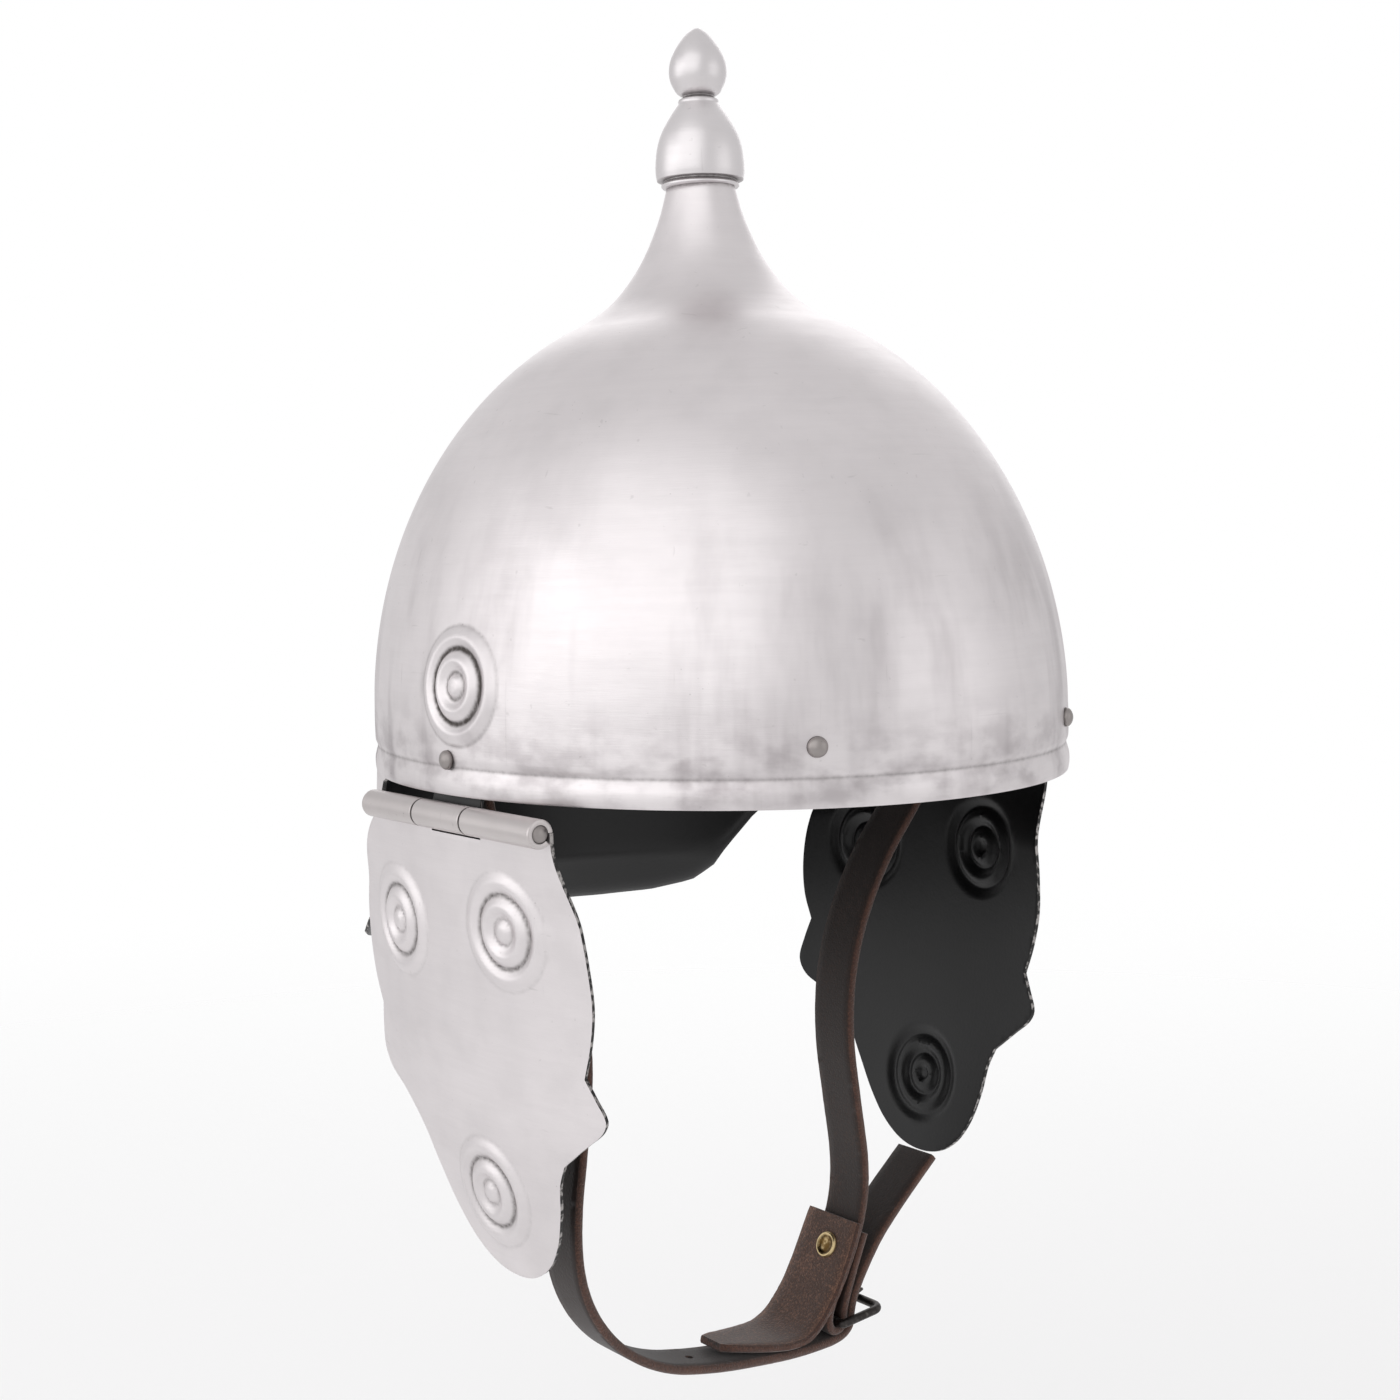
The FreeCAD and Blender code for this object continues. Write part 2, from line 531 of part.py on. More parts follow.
def make_liner():
    tip = liner_radius(LINER_TIP_Z) - LINER_THICKNESS * 0.3
    hem_z = LINER_TIP_Z - 1.0
    shell = turned(liner_section())
    hem = Part.makeTorus(tip, HEM_RADIUS, V(0, 0, hem_z), Z_AXIS)
    channel = Part.makeTorus(tip, THONG_RADIUS + THONG_CLEARANCE, V(0, 0, hem_z), Z_AXIS)
    body = shell.fuse(hem)
    for i in range(4):
        slit = Part.makeBox(4 * LINER_RADIUS, LINER_SLIT, 200,
                            V(-2 * LINER_RADIUS, -LINER_SLIT / 2, LINER_SLIT_BOTTOM_Z))
        slit.rotate(ORIGIN, Z_AXIS, 22.5 + 45 * i)
        body = body.cut(slit)
    body = body.cut(channel)
    body = stretched(body, LINER_HALF_WIDTH / LINER_RADIUS, LINER_HALF_LENGTH / LINER_RADIUS)
    rim_sites, hinge_sites = rivet_sites()
    for point, normal in rim_sites + hinge_sites:
        body = body.cut(rod(RIVET_SHANK_RADIUS + RIVET_CLEARANCE, point - normal * 12, point + normal * 2))
    export("liner", body)
    thong = Part.makeTorus(tip, THONG_RADIUS, V(0, 0, hem_z), Z_AXIS)
    export("liner_thong", stretched(thong, LINER_HALF_WIDTH / LINER_RADIUS, LINER_HALF_LENGTH / LINER_RADIUS))


# ---- rivets ------------------------------------------------------------------------------------
def liner_inner_depth(point, normal):
    """Distance in from a rivet site to the liner's inner face."""
    wide = LINER_HALF_WIDTH * LINER_INNER
    long = LINER_HALF_LENGTH * LINER_INNER
    a = (normal.x / wide) ** 2 + (normal.y / long) ** 2
    b = -2 * (point.x * normal.x / wide ** 2 + point.y * normal.y / long ** 2)
    c = (point.x / wide) ** 2 + (point.y / long) ** 2 - 1
    return (-b - math.sqrt(b * b - 4 * a * c)) / (2 * a)


def rivet(point, normal, grip):
    """Domed head outside, shank through the layers and a small clenched tail inside."""
    tail_radius = RIVET_SHANK_RADIUS * 1.35
    flat = 0.2
    edges = [segment(V(0, 0, -grip - TAIL_HEIGHT), V(tail_radius, 0, -grip - TAIL_HEIGHT))]
    edges.append(segment(V(tail_radius, 0, -grip - TAIL_HEIGHT), V(tail_radius, 0, -grip)))
    edges.append(segment(V(tail_radius, 0, -grip), V(RIVET_SHANK_RADIUS, 0, -grip)))
    edges.append(segment(V(RIVET_SHANK_RADIUS, 0, -grip), V(RIVET_SHANK_RADIUS, 0, 0)))
    edges.append(segment(V(RIVET_SHANK_RADIUS, 0, 0), V(RIVET_HEAD_RADIUS, 0, 0)))
    edges.append(arc(V(RIVET_HEAD_RADIUS, 0, 0), V(RIVET_HEAD_RADIUS * 0.72, 0, RIVET_HEAD_HEIGHT * 0.74),
                     V(flat, 0, RIVET_HEAD_HEIGHT)))
    edges.append(segment(V(flat, 0, RIVET_HEAD_HEIGHT), V(0, 0, RIVET_HEAD_HEIGHT)))
    edges.append(segment(V(0, 0, RIVET_HEAD_HEIGHT), V(0, 0, -grip - TAIL_HEIGHT)))
    return aimed(turned(Part.Wire(edges)), point, normal)


def burr(point, normal, depth):
    """Washer whose outer face lies at a depth in from the site."""
    ring = rod(BURR_RADIUS, V(0, 0, -depth - BURR_THICKNESS), V(0, 0, -depth))
    ring = ring.cut(rod(RIVET_SHANK_RADIUS + RIVET_CLEARANCE, V(0, 0, -depth - 3), V(0, 0, 1)))
    return aimed(ring, point, normal)


def make_rivets():
    rim_sites, hinge_sites = rivet_sites()
    rim_rivets = []
    hinge_rivets = []
    burrs = []
    for point, normal in rim_sites:
        depth = liner_inner_depth(point, normal) + BURR_GAP
        rim_rivets.append(rivet(point, normal, depth + BURR_THICKNESS))
        burrs.append(burr(point, normal, depth))
    for point, normal in hinge_sites:
        depth = strap_inner_depth(point)
        hinge_rivets.append(rivet(point, normal, depth + BURR_THICKNESS))
        burrs.append(burr(point, normal, depth))
    export("rim_rivets", *rim_rivets)
    export("hinge_rivets", *hinge_rivets)
    export("rivet_burrs", *burrs)


# ---- chin strap --------------------------------------------------------------------------------
def bend_distances(points, radii):
    """Distance from each corner to where its bend starts, from a radius or from the shorter run."""
    reach = [0.0] * len(points)
    for i in range(1, len(points) - 1):
        back = (points[i] - points[i - 1]).normalize()
        ahead = (points[i + 1] - points[i]).normalize()
        half = back.getAngle(ahead) / 2
        shorter = min((points[i] - points[i - 1]).Length, (points[i + 1] - points[i]).Length)
        reach[i] = radii[i] * math.tan(half) if i in radii else 0.45 * shorter
    return reach


def strip_side(points, radii, offset):
    """Edges of one face of a strip: straight runs joined by arcs, at an offset from the middle line."""
    reach = bend_distances(points, radii)
    edges = []
    across = [V(-(points[i + 1] - points[i]).z, 0, (points[i + 1] - points[i]).x).normalize()
              for i in range(len(points) - 1)]
    here = points[0] + across[0] * offset
    for i in range(1, len(points) - 1):
        back = (points[i] - points[i - 1]).normalize()
        ahead = (points[i + 1] - points[i]).normalize()
        side = 1.0 if back.cross(ahead).y < 0 else -1.0
        radius = reach[i] / math.tan(back.getAngle(ahead) / 2)
        start = points[i] - back * reach[i]
        end = points[i] + ahead * reach[i]
        centre = start + across[i - 1] * radius * side
        grown = radius - side * offset
        middle = centre + (points[i] - centre).normalize() * grown
        arc_start = start + across[i - 1] * offset
        arc_end = end + across[i] * offset
        if (arc_start - here).Length > 1e-5:
            edges.append(segment(here, arc_start))
        edges.append(arc(arc_start, middle, arc_end))
        here = arc_end
    last = points[-1] + across[-1] * offset
    if (last - here).Length > 1e-5:
        edges.append(segment(here, last))
    return edges


def strip(pairs, radii, thickness, width, centre_y):
    """Flat strap bent along a line in the XZ plane; corner radii are given by index where they matter."""
    points = [V(x, 0, z) for x, z in pairs]
    left = strip_side(points, radii, thickness / 2)
    right = strip_side(points, radii, -thickness / 2)
    start = segment(left[0].Vertexes[0].Point, right[0].Vertexes[0].Point)
    end = segment(left[-1].Vertexes[-1].Point, right[-1].Vertexes[-1].Point)
    wire = Part.Wire(Part.__sortEdges__(left + right + [start, end]))
    return Part.Face(wire).extrude(V(0, width, 0)).translate(V(0, centre_y - width / 2, 0))


def strap_top_x():
    """Middle line of a strap where its front edge hangs against the liner."""
    front = (STRAP_WIDTH / 2 - STRAP_CENTRE_Y) / (LINER_HALF_LENGTH * LINER_INNER)
    wall = LINER_HALF_WIDTH * LINER_INNER * math.sqrt(1.0 - front * front)
    return wall - LAYER_GAP - STRAP_THICKNESS / 2


def strap_inner_depth(point):
    return abs(point.x) - strap_top_x() + STRAP_THICKNESS / 2


def right_strap_route():
    """From the right hinge rivet, under the chin, up through the buckle and on as the loose tail."""
    wrap = FOLD_RADIUS + LAYER_PITCH
    top = strap_top_x()
    under = HEEL.z - wrap
    out = HEEL.x + wrap
    route = [(-top, STRAP_TOP_Z), (-top, -4), (-88, -22), (-68, -52), (-61.5, -84), (-64.5, -112), (-69, -140)]
    route.extend([(-67, -163), (-55, -182.5), (-36, -195.5), (-14, -201.5), (8, -205), (HEEL.x - 15, under)])
    bend = len(route)
    route.extend([(out, under), (out + 0.6, HEEL.z + 4.5), (54.5, -184.5), (66, -170.5), (89.5, -152.6)])
    return route, {bend: wrap}


def left_strap_route():
    """From the left hinge rivet down to the buckle's heel bar, round it and back up beside itself."""
    top = strap_top_x()
    inner = HEEL.x - FOLD_RADIUS
    outer = HEEL.x + FOLD_RADIUS
    low = HEEL.z - FOLD_RADIUS
    route = [(top, STRAP_TOP_Z), (top, -4), (86, -20), (66, -42), (52, -70), (48.5, -98), (52.5, -126)]
    route.append((56, -148))
    route.extend([(STRAP_UPPER.x, STRAP_UPPER.z), (STRAP_ELBOW.x, STRAP_ELBOW.z), (inner, HEEL.z + 5.0)])
    bend = len(route)
    turn = STRAP_ELBOW + V(STRAP_RUN.z, 0, -STRAP_RUN.x) * LAYER_PITCH
    end = turn + STRAP_RUN * FOLD_BACK
    route.extend([(inner, low), (outer, low), (outer, HEEL.z + 3.0), (turn.x, turn.z), (end.x, end.z)])
    return route, {bend: FOLD_RADIUS, bend + 1: FOLD_RADIUS}


def rivet_frame():
    """Centre of the guard's rivet on the strap's middle line, and the direction towards the chin."""
    centre = STRAP_ELBOW + STRAP_RUN * CAP_OFFSET
    return V(centre.x, STRAP_CENTRE_Y, centre.z), V(-STRAP_RUN.z, 0, STRAP_RUN.x)


def make_straps():
    _, hinge_sites = rivet_sites()
    route, radii = right_strap_route()
    right = strip(route, radii, STRAP_THICKNESS, STRAP_WIDTH, STRAP_CENTRE_Y)
    for x in (-19.0, 6.0, 30.0):
        right = right.cut(rod(PUNCH_RADIUS, V(x, STRAP_CENTRE_Y, -215), V(x, STRAP_CENTRE_Y, -190)))
    tall, wide = PRONG_HOLE
    right = right.cut(Part.makeBox(8, wide, tall, V(HEEL.x + FOLD_RADIUS + 0.5, STRAP_CENTRE_Y - wide / 2,
                                                     HEEL.z + 1.2 - tall / 2)))
    left_route, left_radii = left_strap_route()
    left = strip(left_route, left_radii, STRAP_THICKNESS, STRAP_WIDTH, STRAP_CENTRE_Y)
    corner = V(HEEL.x - 7, STRAP_CENTRE_Y - PRONG_SLOT_WIDTH / 2, HEEL.z - 6)
    slot = Part.makeBox(14, PRONG_SLOT_WIDTH, 9.0, corner)
    left = left.cut(slot)
    centre, inward = rivet_frame()
    left = left.cut(rod(CAP_POST_RADIUS + RIVET_CLEARANCE, centre - inward * 12, centre + inward * 8))
    for point, normal in hinge_sites:
        hole = rod(RIVET_SHANK_RADIUS + RIVET_CLEARANCE, point - normal * 14, point)
        right = right.cut(hole)
        left = left.cut(hole)
    export("chin_strap_right", right)
    export("chin_strap_left", left)


def guard_route():
    """Middle line of the guard: inside the left strap, then along over the right strap."""
    centre, inward = rivet_frame()
    pitch = (STRAP_THICKNESS + GUARD_THICKNESS) / 2 + LAYER_GAP
    along = V(inward.z, 0, -inward.x)
    top = V(centre.x, 0, centre.z) + inward * pitch + along * GUARD_ABOVE_CAP
    below = (V(HEEL.x - FOLD_RADIUS, 0, HEEL.z + 5.0) - STRAP_ELBOW).normalize()
    side = (inward + V(below.z, 0, -below.x)).normalize()
    elbow = STRAP_ELBOW + side * (pitch + 0.1)
    corner = (HEEL.x - FOLD_RADIUS - pitch, HEEL.z + 5.5)
    return [(top.x, top.z), (elbow.x, elbow.z), corner, (24, -203.0), (8, -201.2), (-8.5, -197.3)]


def make_guard():
    centre_y = STRAP_CENTRE_Y + 1.5
    blank = strip(guard_route(), {}, GUARD_THICKNESS, GUARD_WIDTH, centre_y)
    half = GUARD_WIDTH / 2
    tip = GUARD_TIP_WIDTH / 2
    flank = [(-30, tip), (-8, tip), (24, half), (80, half)]
    plan = [V(x, centre_y - away, 0) for x, away in flank]
    plan += [V(x, centre_y + away, 0) for x, away in reversed(flank)]
    prism = Part.Face(Part.makePolygon(plan + plan[:1])).extrude(V(0, 0, 200)).translate(V(0, 0, -300))
    centre, inward = rivet_frame()
    hole = rod(CAP_POST_RADIUS + RIVET_CLEARANCE, centre - inward * 2, centre + inward * 12)
    export("strap_guard", blank.common(prism).cut(hole))


def make_strap_rivet():
    centre, inward = rivet_frame()
    face = centre + inward * (STRAP_THICKNESS / 2 + LAYER_GAP + GUARD_THICKNESS + CAP_SEAT_GAP)
    back = STRAP_THICKNESS + LAYER_PITCH + LAYER_GAP + GUARD_THICKNESS + 2 * CAP_SEAT_GAP
    lip = V(CAP_RADIUS * 0.8, 0, CAP_HEIGHT)
    dish = V(CAP_RADIUS * 0.1, 0, CAP_HEIGHT * 0.7)
    foot = -back - BURR_THICKNESS - 0.5
    edges = [segment(V(0, 0, foot), V(CAP_POST_RADIUS, 0, foot))]
    edges.append(segment(V(CAP_POST_RADIUS, 0, foot), V(CAP_POST_RADIUS, 0, 0)))
    edges.append(segment(V(CAP_POST_RADIUS, 0, 0), V(CAP_RADIUS, 0, 0)))
    edges.append(arc(V(CAP_RADIUS, 0, 0), V(CAP_RADIUS * 0.96, 0, CAP_HEIGHT * 0.7), lip))
    edges.append(arc(lip, V(CAP_RADIUS * 0.45, 0, CAP_HEIGHT * 0.8), dish))
    edges.append(segment(dish, V(0, 0, dish.z)))
    edges.append(segment(V(0, 0, dish.z), V(0, 0, foot)))
    export("strap_rivet", aimed(turned(Part.Wire(edges)), face, inward))
    ring = rod(CAP_RADIUS * 0.85, V(0, 0, -back - BURR_THICKNESS), V(0, 0, -back))
    ring = ring.cut(rod(CAP_POST_RADIUS + RIVET_CLEARANCE, V(0, 0, -back - 3), V(0, 0, 1)))
    export("strap_rivet_burr", aimed(ring, face, inward))


def make_buckle():
    tilt = math.radians(BUCKLE_TILT)
    toe = HEEL + V(math.cos(tilt), 0, math.sin(tilt)) * BUCKLE_REACH
    radius = BUCKLE_WIRE / 2
    reach = STRAP_WIDTH / 2 + BUCKLE_SIDE_GAP + radius
    front = V(0, STRAP_CENTRE_Y - reach, 0)
    rear = V(0, STRAP_CENTRE_Y + reach, 0)
    corners = [HEEL + front, toe + front, toe + rear, HEEL + rear]
    frame = Part.makeSphere(radius, corners[0])
    for i, corner in enumerate(corners):
        frame = frame.fuse(rod(radius, corner, corners[(i + 1) % 4]))
        if i:
            frame = frame.fuse(Part.makeSphere(radius, corner))
    export("buckle_frame", frame)

    middle = V(0, STRAP_CENTRE_Y, 0)
    eye_half = PRONG_SLOT_WIDTH / 2 - LAYER_GAP
    centre = HEEL + middle
    eye = rod(radius + PIN_CLEARANCE + 1.3, centre - Y_AXIS * eye_half, centre + Y_AXIS * eye_half)
    lift = radius + PRONG_DIAMETER / 2 + LAYER_GAP
    start = HEEL + middle + V(2.2, 0, 0.4)
    end = toe + middle + V(1.4, 0, lift)
    prong = eye.fuse(rod(PRONG_DIAMETER / 2, start, end)).fuse(Part.makeSphere(PRONG_DIAMETER / 2, end))
    prong = prong.cut(rod(radius + PIN_CLEARANCE, HEEL + middle - Y_AXIS * 6, HEEL + middle + Y_AXIS * 6))
    export("buckle_prong", prong)


def main():
    os.makedirs("parts", exist_ok=True)
    make_bowl()
    make_finial()
    make_hinges()
    make_cheeks()
    make_liner()
    make_rivets()
    make_straps()
    make_guard()
    make_strap_rivet()
    make_buckle()


main()
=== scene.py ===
"""Steel helmet with hinged cheek plates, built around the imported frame.

Every size is in metres in the helmet's own frame: origin at the centre of the rim's lower edge, +Z up,
front towards -Y and the wearer's right towards -X.
"""

import logging
import math
from dataclasses import dataclass, field
from enum import Enum
from typing import Callable, Iterable, Sequence

import bmesh
import bpy
from mathutils import Matrix, Vector, noise


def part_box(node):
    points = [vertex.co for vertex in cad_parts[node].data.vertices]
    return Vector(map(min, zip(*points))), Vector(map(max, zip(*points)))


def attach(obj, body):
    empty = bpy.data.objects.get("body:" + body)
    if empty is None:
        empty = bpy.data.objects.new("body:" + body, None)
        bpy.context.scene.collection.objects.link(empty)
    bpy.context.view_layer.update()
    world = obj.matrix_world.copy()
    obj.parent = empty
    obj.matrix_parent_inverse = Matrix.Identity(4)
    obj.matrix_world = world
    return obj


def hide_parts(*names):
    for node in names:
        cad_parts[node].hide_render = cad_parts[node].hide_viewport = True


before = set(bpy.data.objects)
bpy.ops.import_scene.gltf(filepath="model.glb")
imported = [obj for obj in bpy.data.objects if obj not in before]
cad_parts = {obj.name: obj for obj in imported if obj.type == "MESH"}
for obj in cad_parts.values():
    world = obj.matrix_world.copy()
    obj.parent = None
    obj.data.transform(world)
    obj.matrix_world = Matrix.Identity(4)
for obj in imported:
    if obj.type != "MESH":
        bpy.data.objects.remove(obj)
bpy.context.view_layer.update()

LOG = logging.getLogger("helmet")
MM = 0.001
UP = Vector((0.0, 0.0, 1.0))
AXIS_Y = Vector((0.0, 1.0, 0.0))

WELD = 1e-6

Pair = tuple[float, float]
Site = tuple[Vector, Vector]
BMesh = bmesh.types.BMesh
Material = bpy.types.Material
Object = bpy.types.Object


class Side(Enum):
    """The wearer's two sides, as the sign of X."""

    RIGHT = -1
    LEFT = 1

    @property
    def word(self) -> str:
        """Name used in node and piece names."""
        return self.name.lower()


class Brushing(Enum):
    """Direction that a steel surface was brushed in, as noise stretch factors along X, Y and Z."""

    AROUND = (0.06, 0.06, 1.0)
    LENGTHWISE = (1.0, 0.06, 1.0)
    ANY = (1.0, 1.0, 1.0)


# ---- shader tools ------------------------------------------------------------------------------
class Socket:
    """A node socket that can be used in ordinary arithmetic."""

    def __init__(self, graph: "Graph", link: bpy.types.NodeSocket) -> None:
        """Wraps one output socket of a graph."""
        self.graph = graph
        self.link = link

    def _math(self, operation: str, *values: "Socket | float") -> "Socket":
        """Adds one Math node.

        Args:
            operation: Blender's name of the operation.
            values: its inputs in order.

        Returns:
            The node's result.
        """
        return self.graph.node("ShaderNodeMath", {"operation": operation}, dict(enumerate(values)))

    def __add__(self, other: "Socket | float") -> "Socket":
        """Sum."""
        return self._math("ADD", self, other)

    __radd__ = __add__

    def __sub__(self, other: "Socket | float") -> "Socket":
        """Difference."""
        return self._math("SUBTRACT", self, other)

    def __rsub__(self, other: "Socket | float") -> "Socket":
        """Reflected difference."""
        return self._math("SUBTRACT", other, self)

    def __mul__(self, other: "Socket | float") -> "Socket":
        """Product."""
        return self._math("MULTIPLY", self, other)

    __rmul__ = __mul__

    def over(self, other: "Socket | float") -> "Socket":
        """Larger of the two."""
        return self._math("MAXIMUM", self, other)

    def ramp(self, low: float, high: float) -> "Socket":
        """Smooth step from 0 at one value to 1 at another."""
        inputs = {"Value": self, "From Min": low, "From Max": high}
        return self.graph.node("ShaderNodeMapRange", {"interpolation_type": "SMOOTHSTEP"}, inputs)


class Graph:
    """One material and the nodes that are added to it."""

    def __init__(self, name: str) -> None:
        """Starts an empty material with its shader and output."""
        self.material = bpy.data.materials.new(name)
        self.material.use_nodes = True
        self.tree = self.material.node_tree
        self.shader = self.tree.nodes["Principled BSDF"]
        self.place = Socket(self, self.tree.nodes.new("ShaderNodeTexCoord").outputs["Object"])

    def plug(self, entry: bpy.types.NodeSocket, value: "Socket | float | Sequence[float]") -> None:
        """Links or sets one input of a node."""
        if isinstance(value, Socket):
            self.tree.links.new(value.link, entry)
        else:
            entry.default_value = value

    def node(self, kind: str, settings: dict, inputs: dict, output: "int | str" = 0) -> Socket:
        """Adds any node.

        Args:
            kind: the node's type.
            settings: properties set before its sockets.
            inputs: values or links by socket name or index.
            output: which output is wanted.

        Returns:
            The wanted output.
        """
        made = self.tree.nodes.new(kind)
        for name, value in settings.items():
            setattr(made, name, value)
        for name, value in inputs.items():
            self.plug(made.inputs[name], value)
        return Socket(self, made.outputs[output])

    def noise(self, scale: float, detail: float = 3.0, factors: Sequence[float] = (1.0, 1.0, 1.0),
              turn: Sequence[float] = (0.0, 0.0, 0.0)) -> Socket:
        """Noise from 0 to 1 with so many features a metre."""
        mapping = {"Vector": self.place, "Scale": factors, "Rotation": turn}
        vector = self.node("ShaderNodeMapping", {}, mapping)
        return self.node("ShaderNodeTexNoise", {}, {"Vector": vector, "Scale": scale, "Detail": detail})

    def cells(self, scale: float) -> Socket:
        """Distance to the nearest of scattered points, for grain."""
        return self.node("ShaderNodeTexVoronoi", {}, {"Vector": self.place, "Scale": scale})

    def mask(self, name: str) -> Socket:
        """A piece's own attribute."""
        return self.node("ShaderNodeAttribute", {"attribute_name": name}, {}, "Fac")

    def across(self, axis: str) -> Socket:
        """One of the object coordinates."""
        return self.node("ShaderNodeSeparateXYZ", {}, {"Vector": self.place}, axis)

    def mix(self, share: "Socket | float", first: "Socket | tuple", second: "Socket | tuple") -> Socket:
        """Colour between two others."""
        return self.node("ShaderNodeMix", {"data_type": "RGBA"}, {0: share, 6: first, 7: second}, 2)

    def bump(self, height: Socket, depth: float) -> None:
        """Feeds a height in units of depth, in metres, to the shader's normal."""
        self.feed("Normal", self.node("ShaderNodeBump", {}, {"Height": height, "Distance": depth}))

    def feed(self, name: str, value: "Socket | float | tuple") -> None:
        """Sets or links one input of the shader."""
        self.plug(self.shader.inputs[name], value)


def shade(red: float, green: float, blue: float) -> tuple[float, float, float, float]:
    """Linear colour with full alpha from display values of 0 to 255."""
    linear = [((c / 255 + 0.055) / 1.055) ** 2.4 if c > 10 else c / 255 / 12.92 for c in (red, green, blue)]
    return linear[0], linear[1], linear[2], 1.0


# ---- finishes ----------------------------------------------------------------------------------
@dataclass(frozen=True)
class Steel:
    """Satin brushed steel, darker where the piece's attribute marks patina and painted shade in grooves and
    joints.
    """

    name: str
    tone: tuple = shade(230, 225, 226)
    # Dark tone of patina, pits and scratches, also used as painted shade in grooves and joints.
    patina_and_painted_shade: tuple = shade(84, 79, 77)
    roughness: float = 0.42
    brushing: Brushing = Brushing.AROUND
    pits: float = 0.35
    # Strength of the painted reflection streaks and of the grime and painted shade above the rim.
    painted_runs: float = 0.0

    def scratches(self, g: Graph) -> Socket:
        """Fine scratches in three directions."""
        ways = (((1.0, 0.03, 1.0), (0.5, 0.2, 0.4)), ((0.03, 1.0, 1.0), (0.2, 0.7, 0.9)),
                ((1.0, 1.0, 0.03), (0.7, 0.3, 0.1)))
        marks = [g.noise(420.0, 2.0, factors, turn).ramp(0.72, 0.80) for factors, turn in ways]
        return marks[0].over(marks[1]).over(marks[2])

    def grime_and_painted_light(self, g: Graph) -> Socket:
        """Darkening above the rim, partly grime and partly painted shade, and soft vertical streaks up the wall
        that are painted reflections.
        """
        height = g.across("Z")
        on_guard = 0.22
        wall = on_guard + (1.0 - on_guard) * height.ramp(-0.004, 0.004)
        near = wall * (1.0 - height.ramp(0.006, 0.034))
        low = wall * (1.0 - height.ramp(0.015, 0.115))
        painted_runs = g.noise(52.0, 4.0, (1.0, 1.0, 0.16)).ramp(0.44, 0.70)
        patches = g.noise(75.0, 5.0, (1.0, 1.0, 1.6)).ramp(0.40, 0.70)
        return self.painted_runs * (0.60 * low * painted_runs + 0.60 * near * patches)

    def make(self) -> Material:
        """Builds the material."""
        g = Graph(self.name)
        cloud = g.noise(14.0, 4.0, (1.0, 1.0, 1.8))
        blotch = g.noise(70.0, 5.0)
        streak = g.noise(2600.0, 2.0, self.brushing.value)
        wide = g.noise(480.0, 3.0, self.brushing.value)
        grit = g.noise(3800.0, 2.0)
        pit = (1.0 - g.cells(420.0).ramp(0.04, 0.16)) * g.noise(40.0, 3.0).ramp(0.52, 0.72)
        # Patina and painted shade in grooves and joints, read from the piece's own attribute, plus pits.
        marked = g.mask("patina_and_painted_shade") * (0.50 + 0.85 * g.noise(600.0, 4.0))
        marks = self.scratches(g)
        stain_and_painted_shade = (marked + self.pits * pit).ramp(0.05, 0.95)
        grey = tuple(c * 0.86 for c in self.tone[:3]) + (1.0,)
        # Dark tone for the grime, the painted shade and the painted reflection streaks.
        grime_and_shade_tone = (self.tone[0] * 0.48, self.tone[1] * 0.46, self.tone[2] * 0.47, 1.0)
        light = g.mix(0.55 * cloud.ramp(0.3, 0.7) + 0.35 * blotch.ramp(0.4, 0.75), self.tone, grey)
        light = g.mix(0.16 * wide.ramp(0.35, 0.7) + 0.10 * streak, light, grey)
        # Grime and painted shade above the rim, painted reflection streaks up the wall.
        light = g.mix(self.grime_and_painted_light(g), light, grime_and_shade_tone)
        light = g.mix(0.12 * marks, light, self.patina_and_painted_shade)
        g.feed("Base Color", g.mix(stain_and_painted_shade, light, self.patina_and_painted_shade))
        g.feed("Metallic", 1.0)
        rough = self.roughness + 0.10 * (cloud - 0.5) + 0.12 * (streak - 0.5) + 0.08 * (wide - 0.5)
        g.feed("Roughness", rough + 0.16 * stain_and_painted_shade)
        g.bump(0.5 * streak + 0.25 * grit + 0.3 * wide - 0.6 * stain_and_painted_shade - 0.2 * marks, 0.00005)
        return g.material


@dataclass(frozen=True)
class Paint:
    """Black satin paint inside the sheet."""

    name: str
    tone: tuple = shade(14, 14, 15)
    roughness: float = 0.36

    def make(self) -> Material:
        """Builds the material."""
        g = Graph(self.name)
        cloud = g.noise(22.0, 4.0)
        peel = g.noise(900.0, 2.0)
        dust = g.noise(2600.0, 3.0).ramp(0.66, 0.80)
        g.feed("Base Color", g.mix(0.16 * dust, self.tone, shade(86, 84, 82)))
        g.feed("Roughness", self.roughness + 0.12 * (cloud - 0.5) + 0.10 * dust)
        g.feed("Specular IOR Level", 0.38)
        g.bump(0.8 * peel + 0.2 * cloud, 0.00005)
        return g.material


@dataclass(frozen=True)
class SheetEdge:
    """Cut edge of the sheet: bare steel with paint left in the low places."""

    name: str
    steel: tuple = shade(168, 164, 162)
    paint: tuple = shade(26, 25, 25)

    def make(self) -> Material:
        """Builds the material."""
        g = Graph(self.name)
        left = g.noise(520.0, 6.0).ramp(0.38, 0.54)
        g.feed("Base Color", g.mix(left, self.steel, self.paint))
        g.feed("Metallic", 1.0 - 0.9 * left)
        g.feed("Roughness", 0.42 + 0.15 * left)
        g.bump(g.noise(1500.0, 3.0), 0.00006)
        return g.material


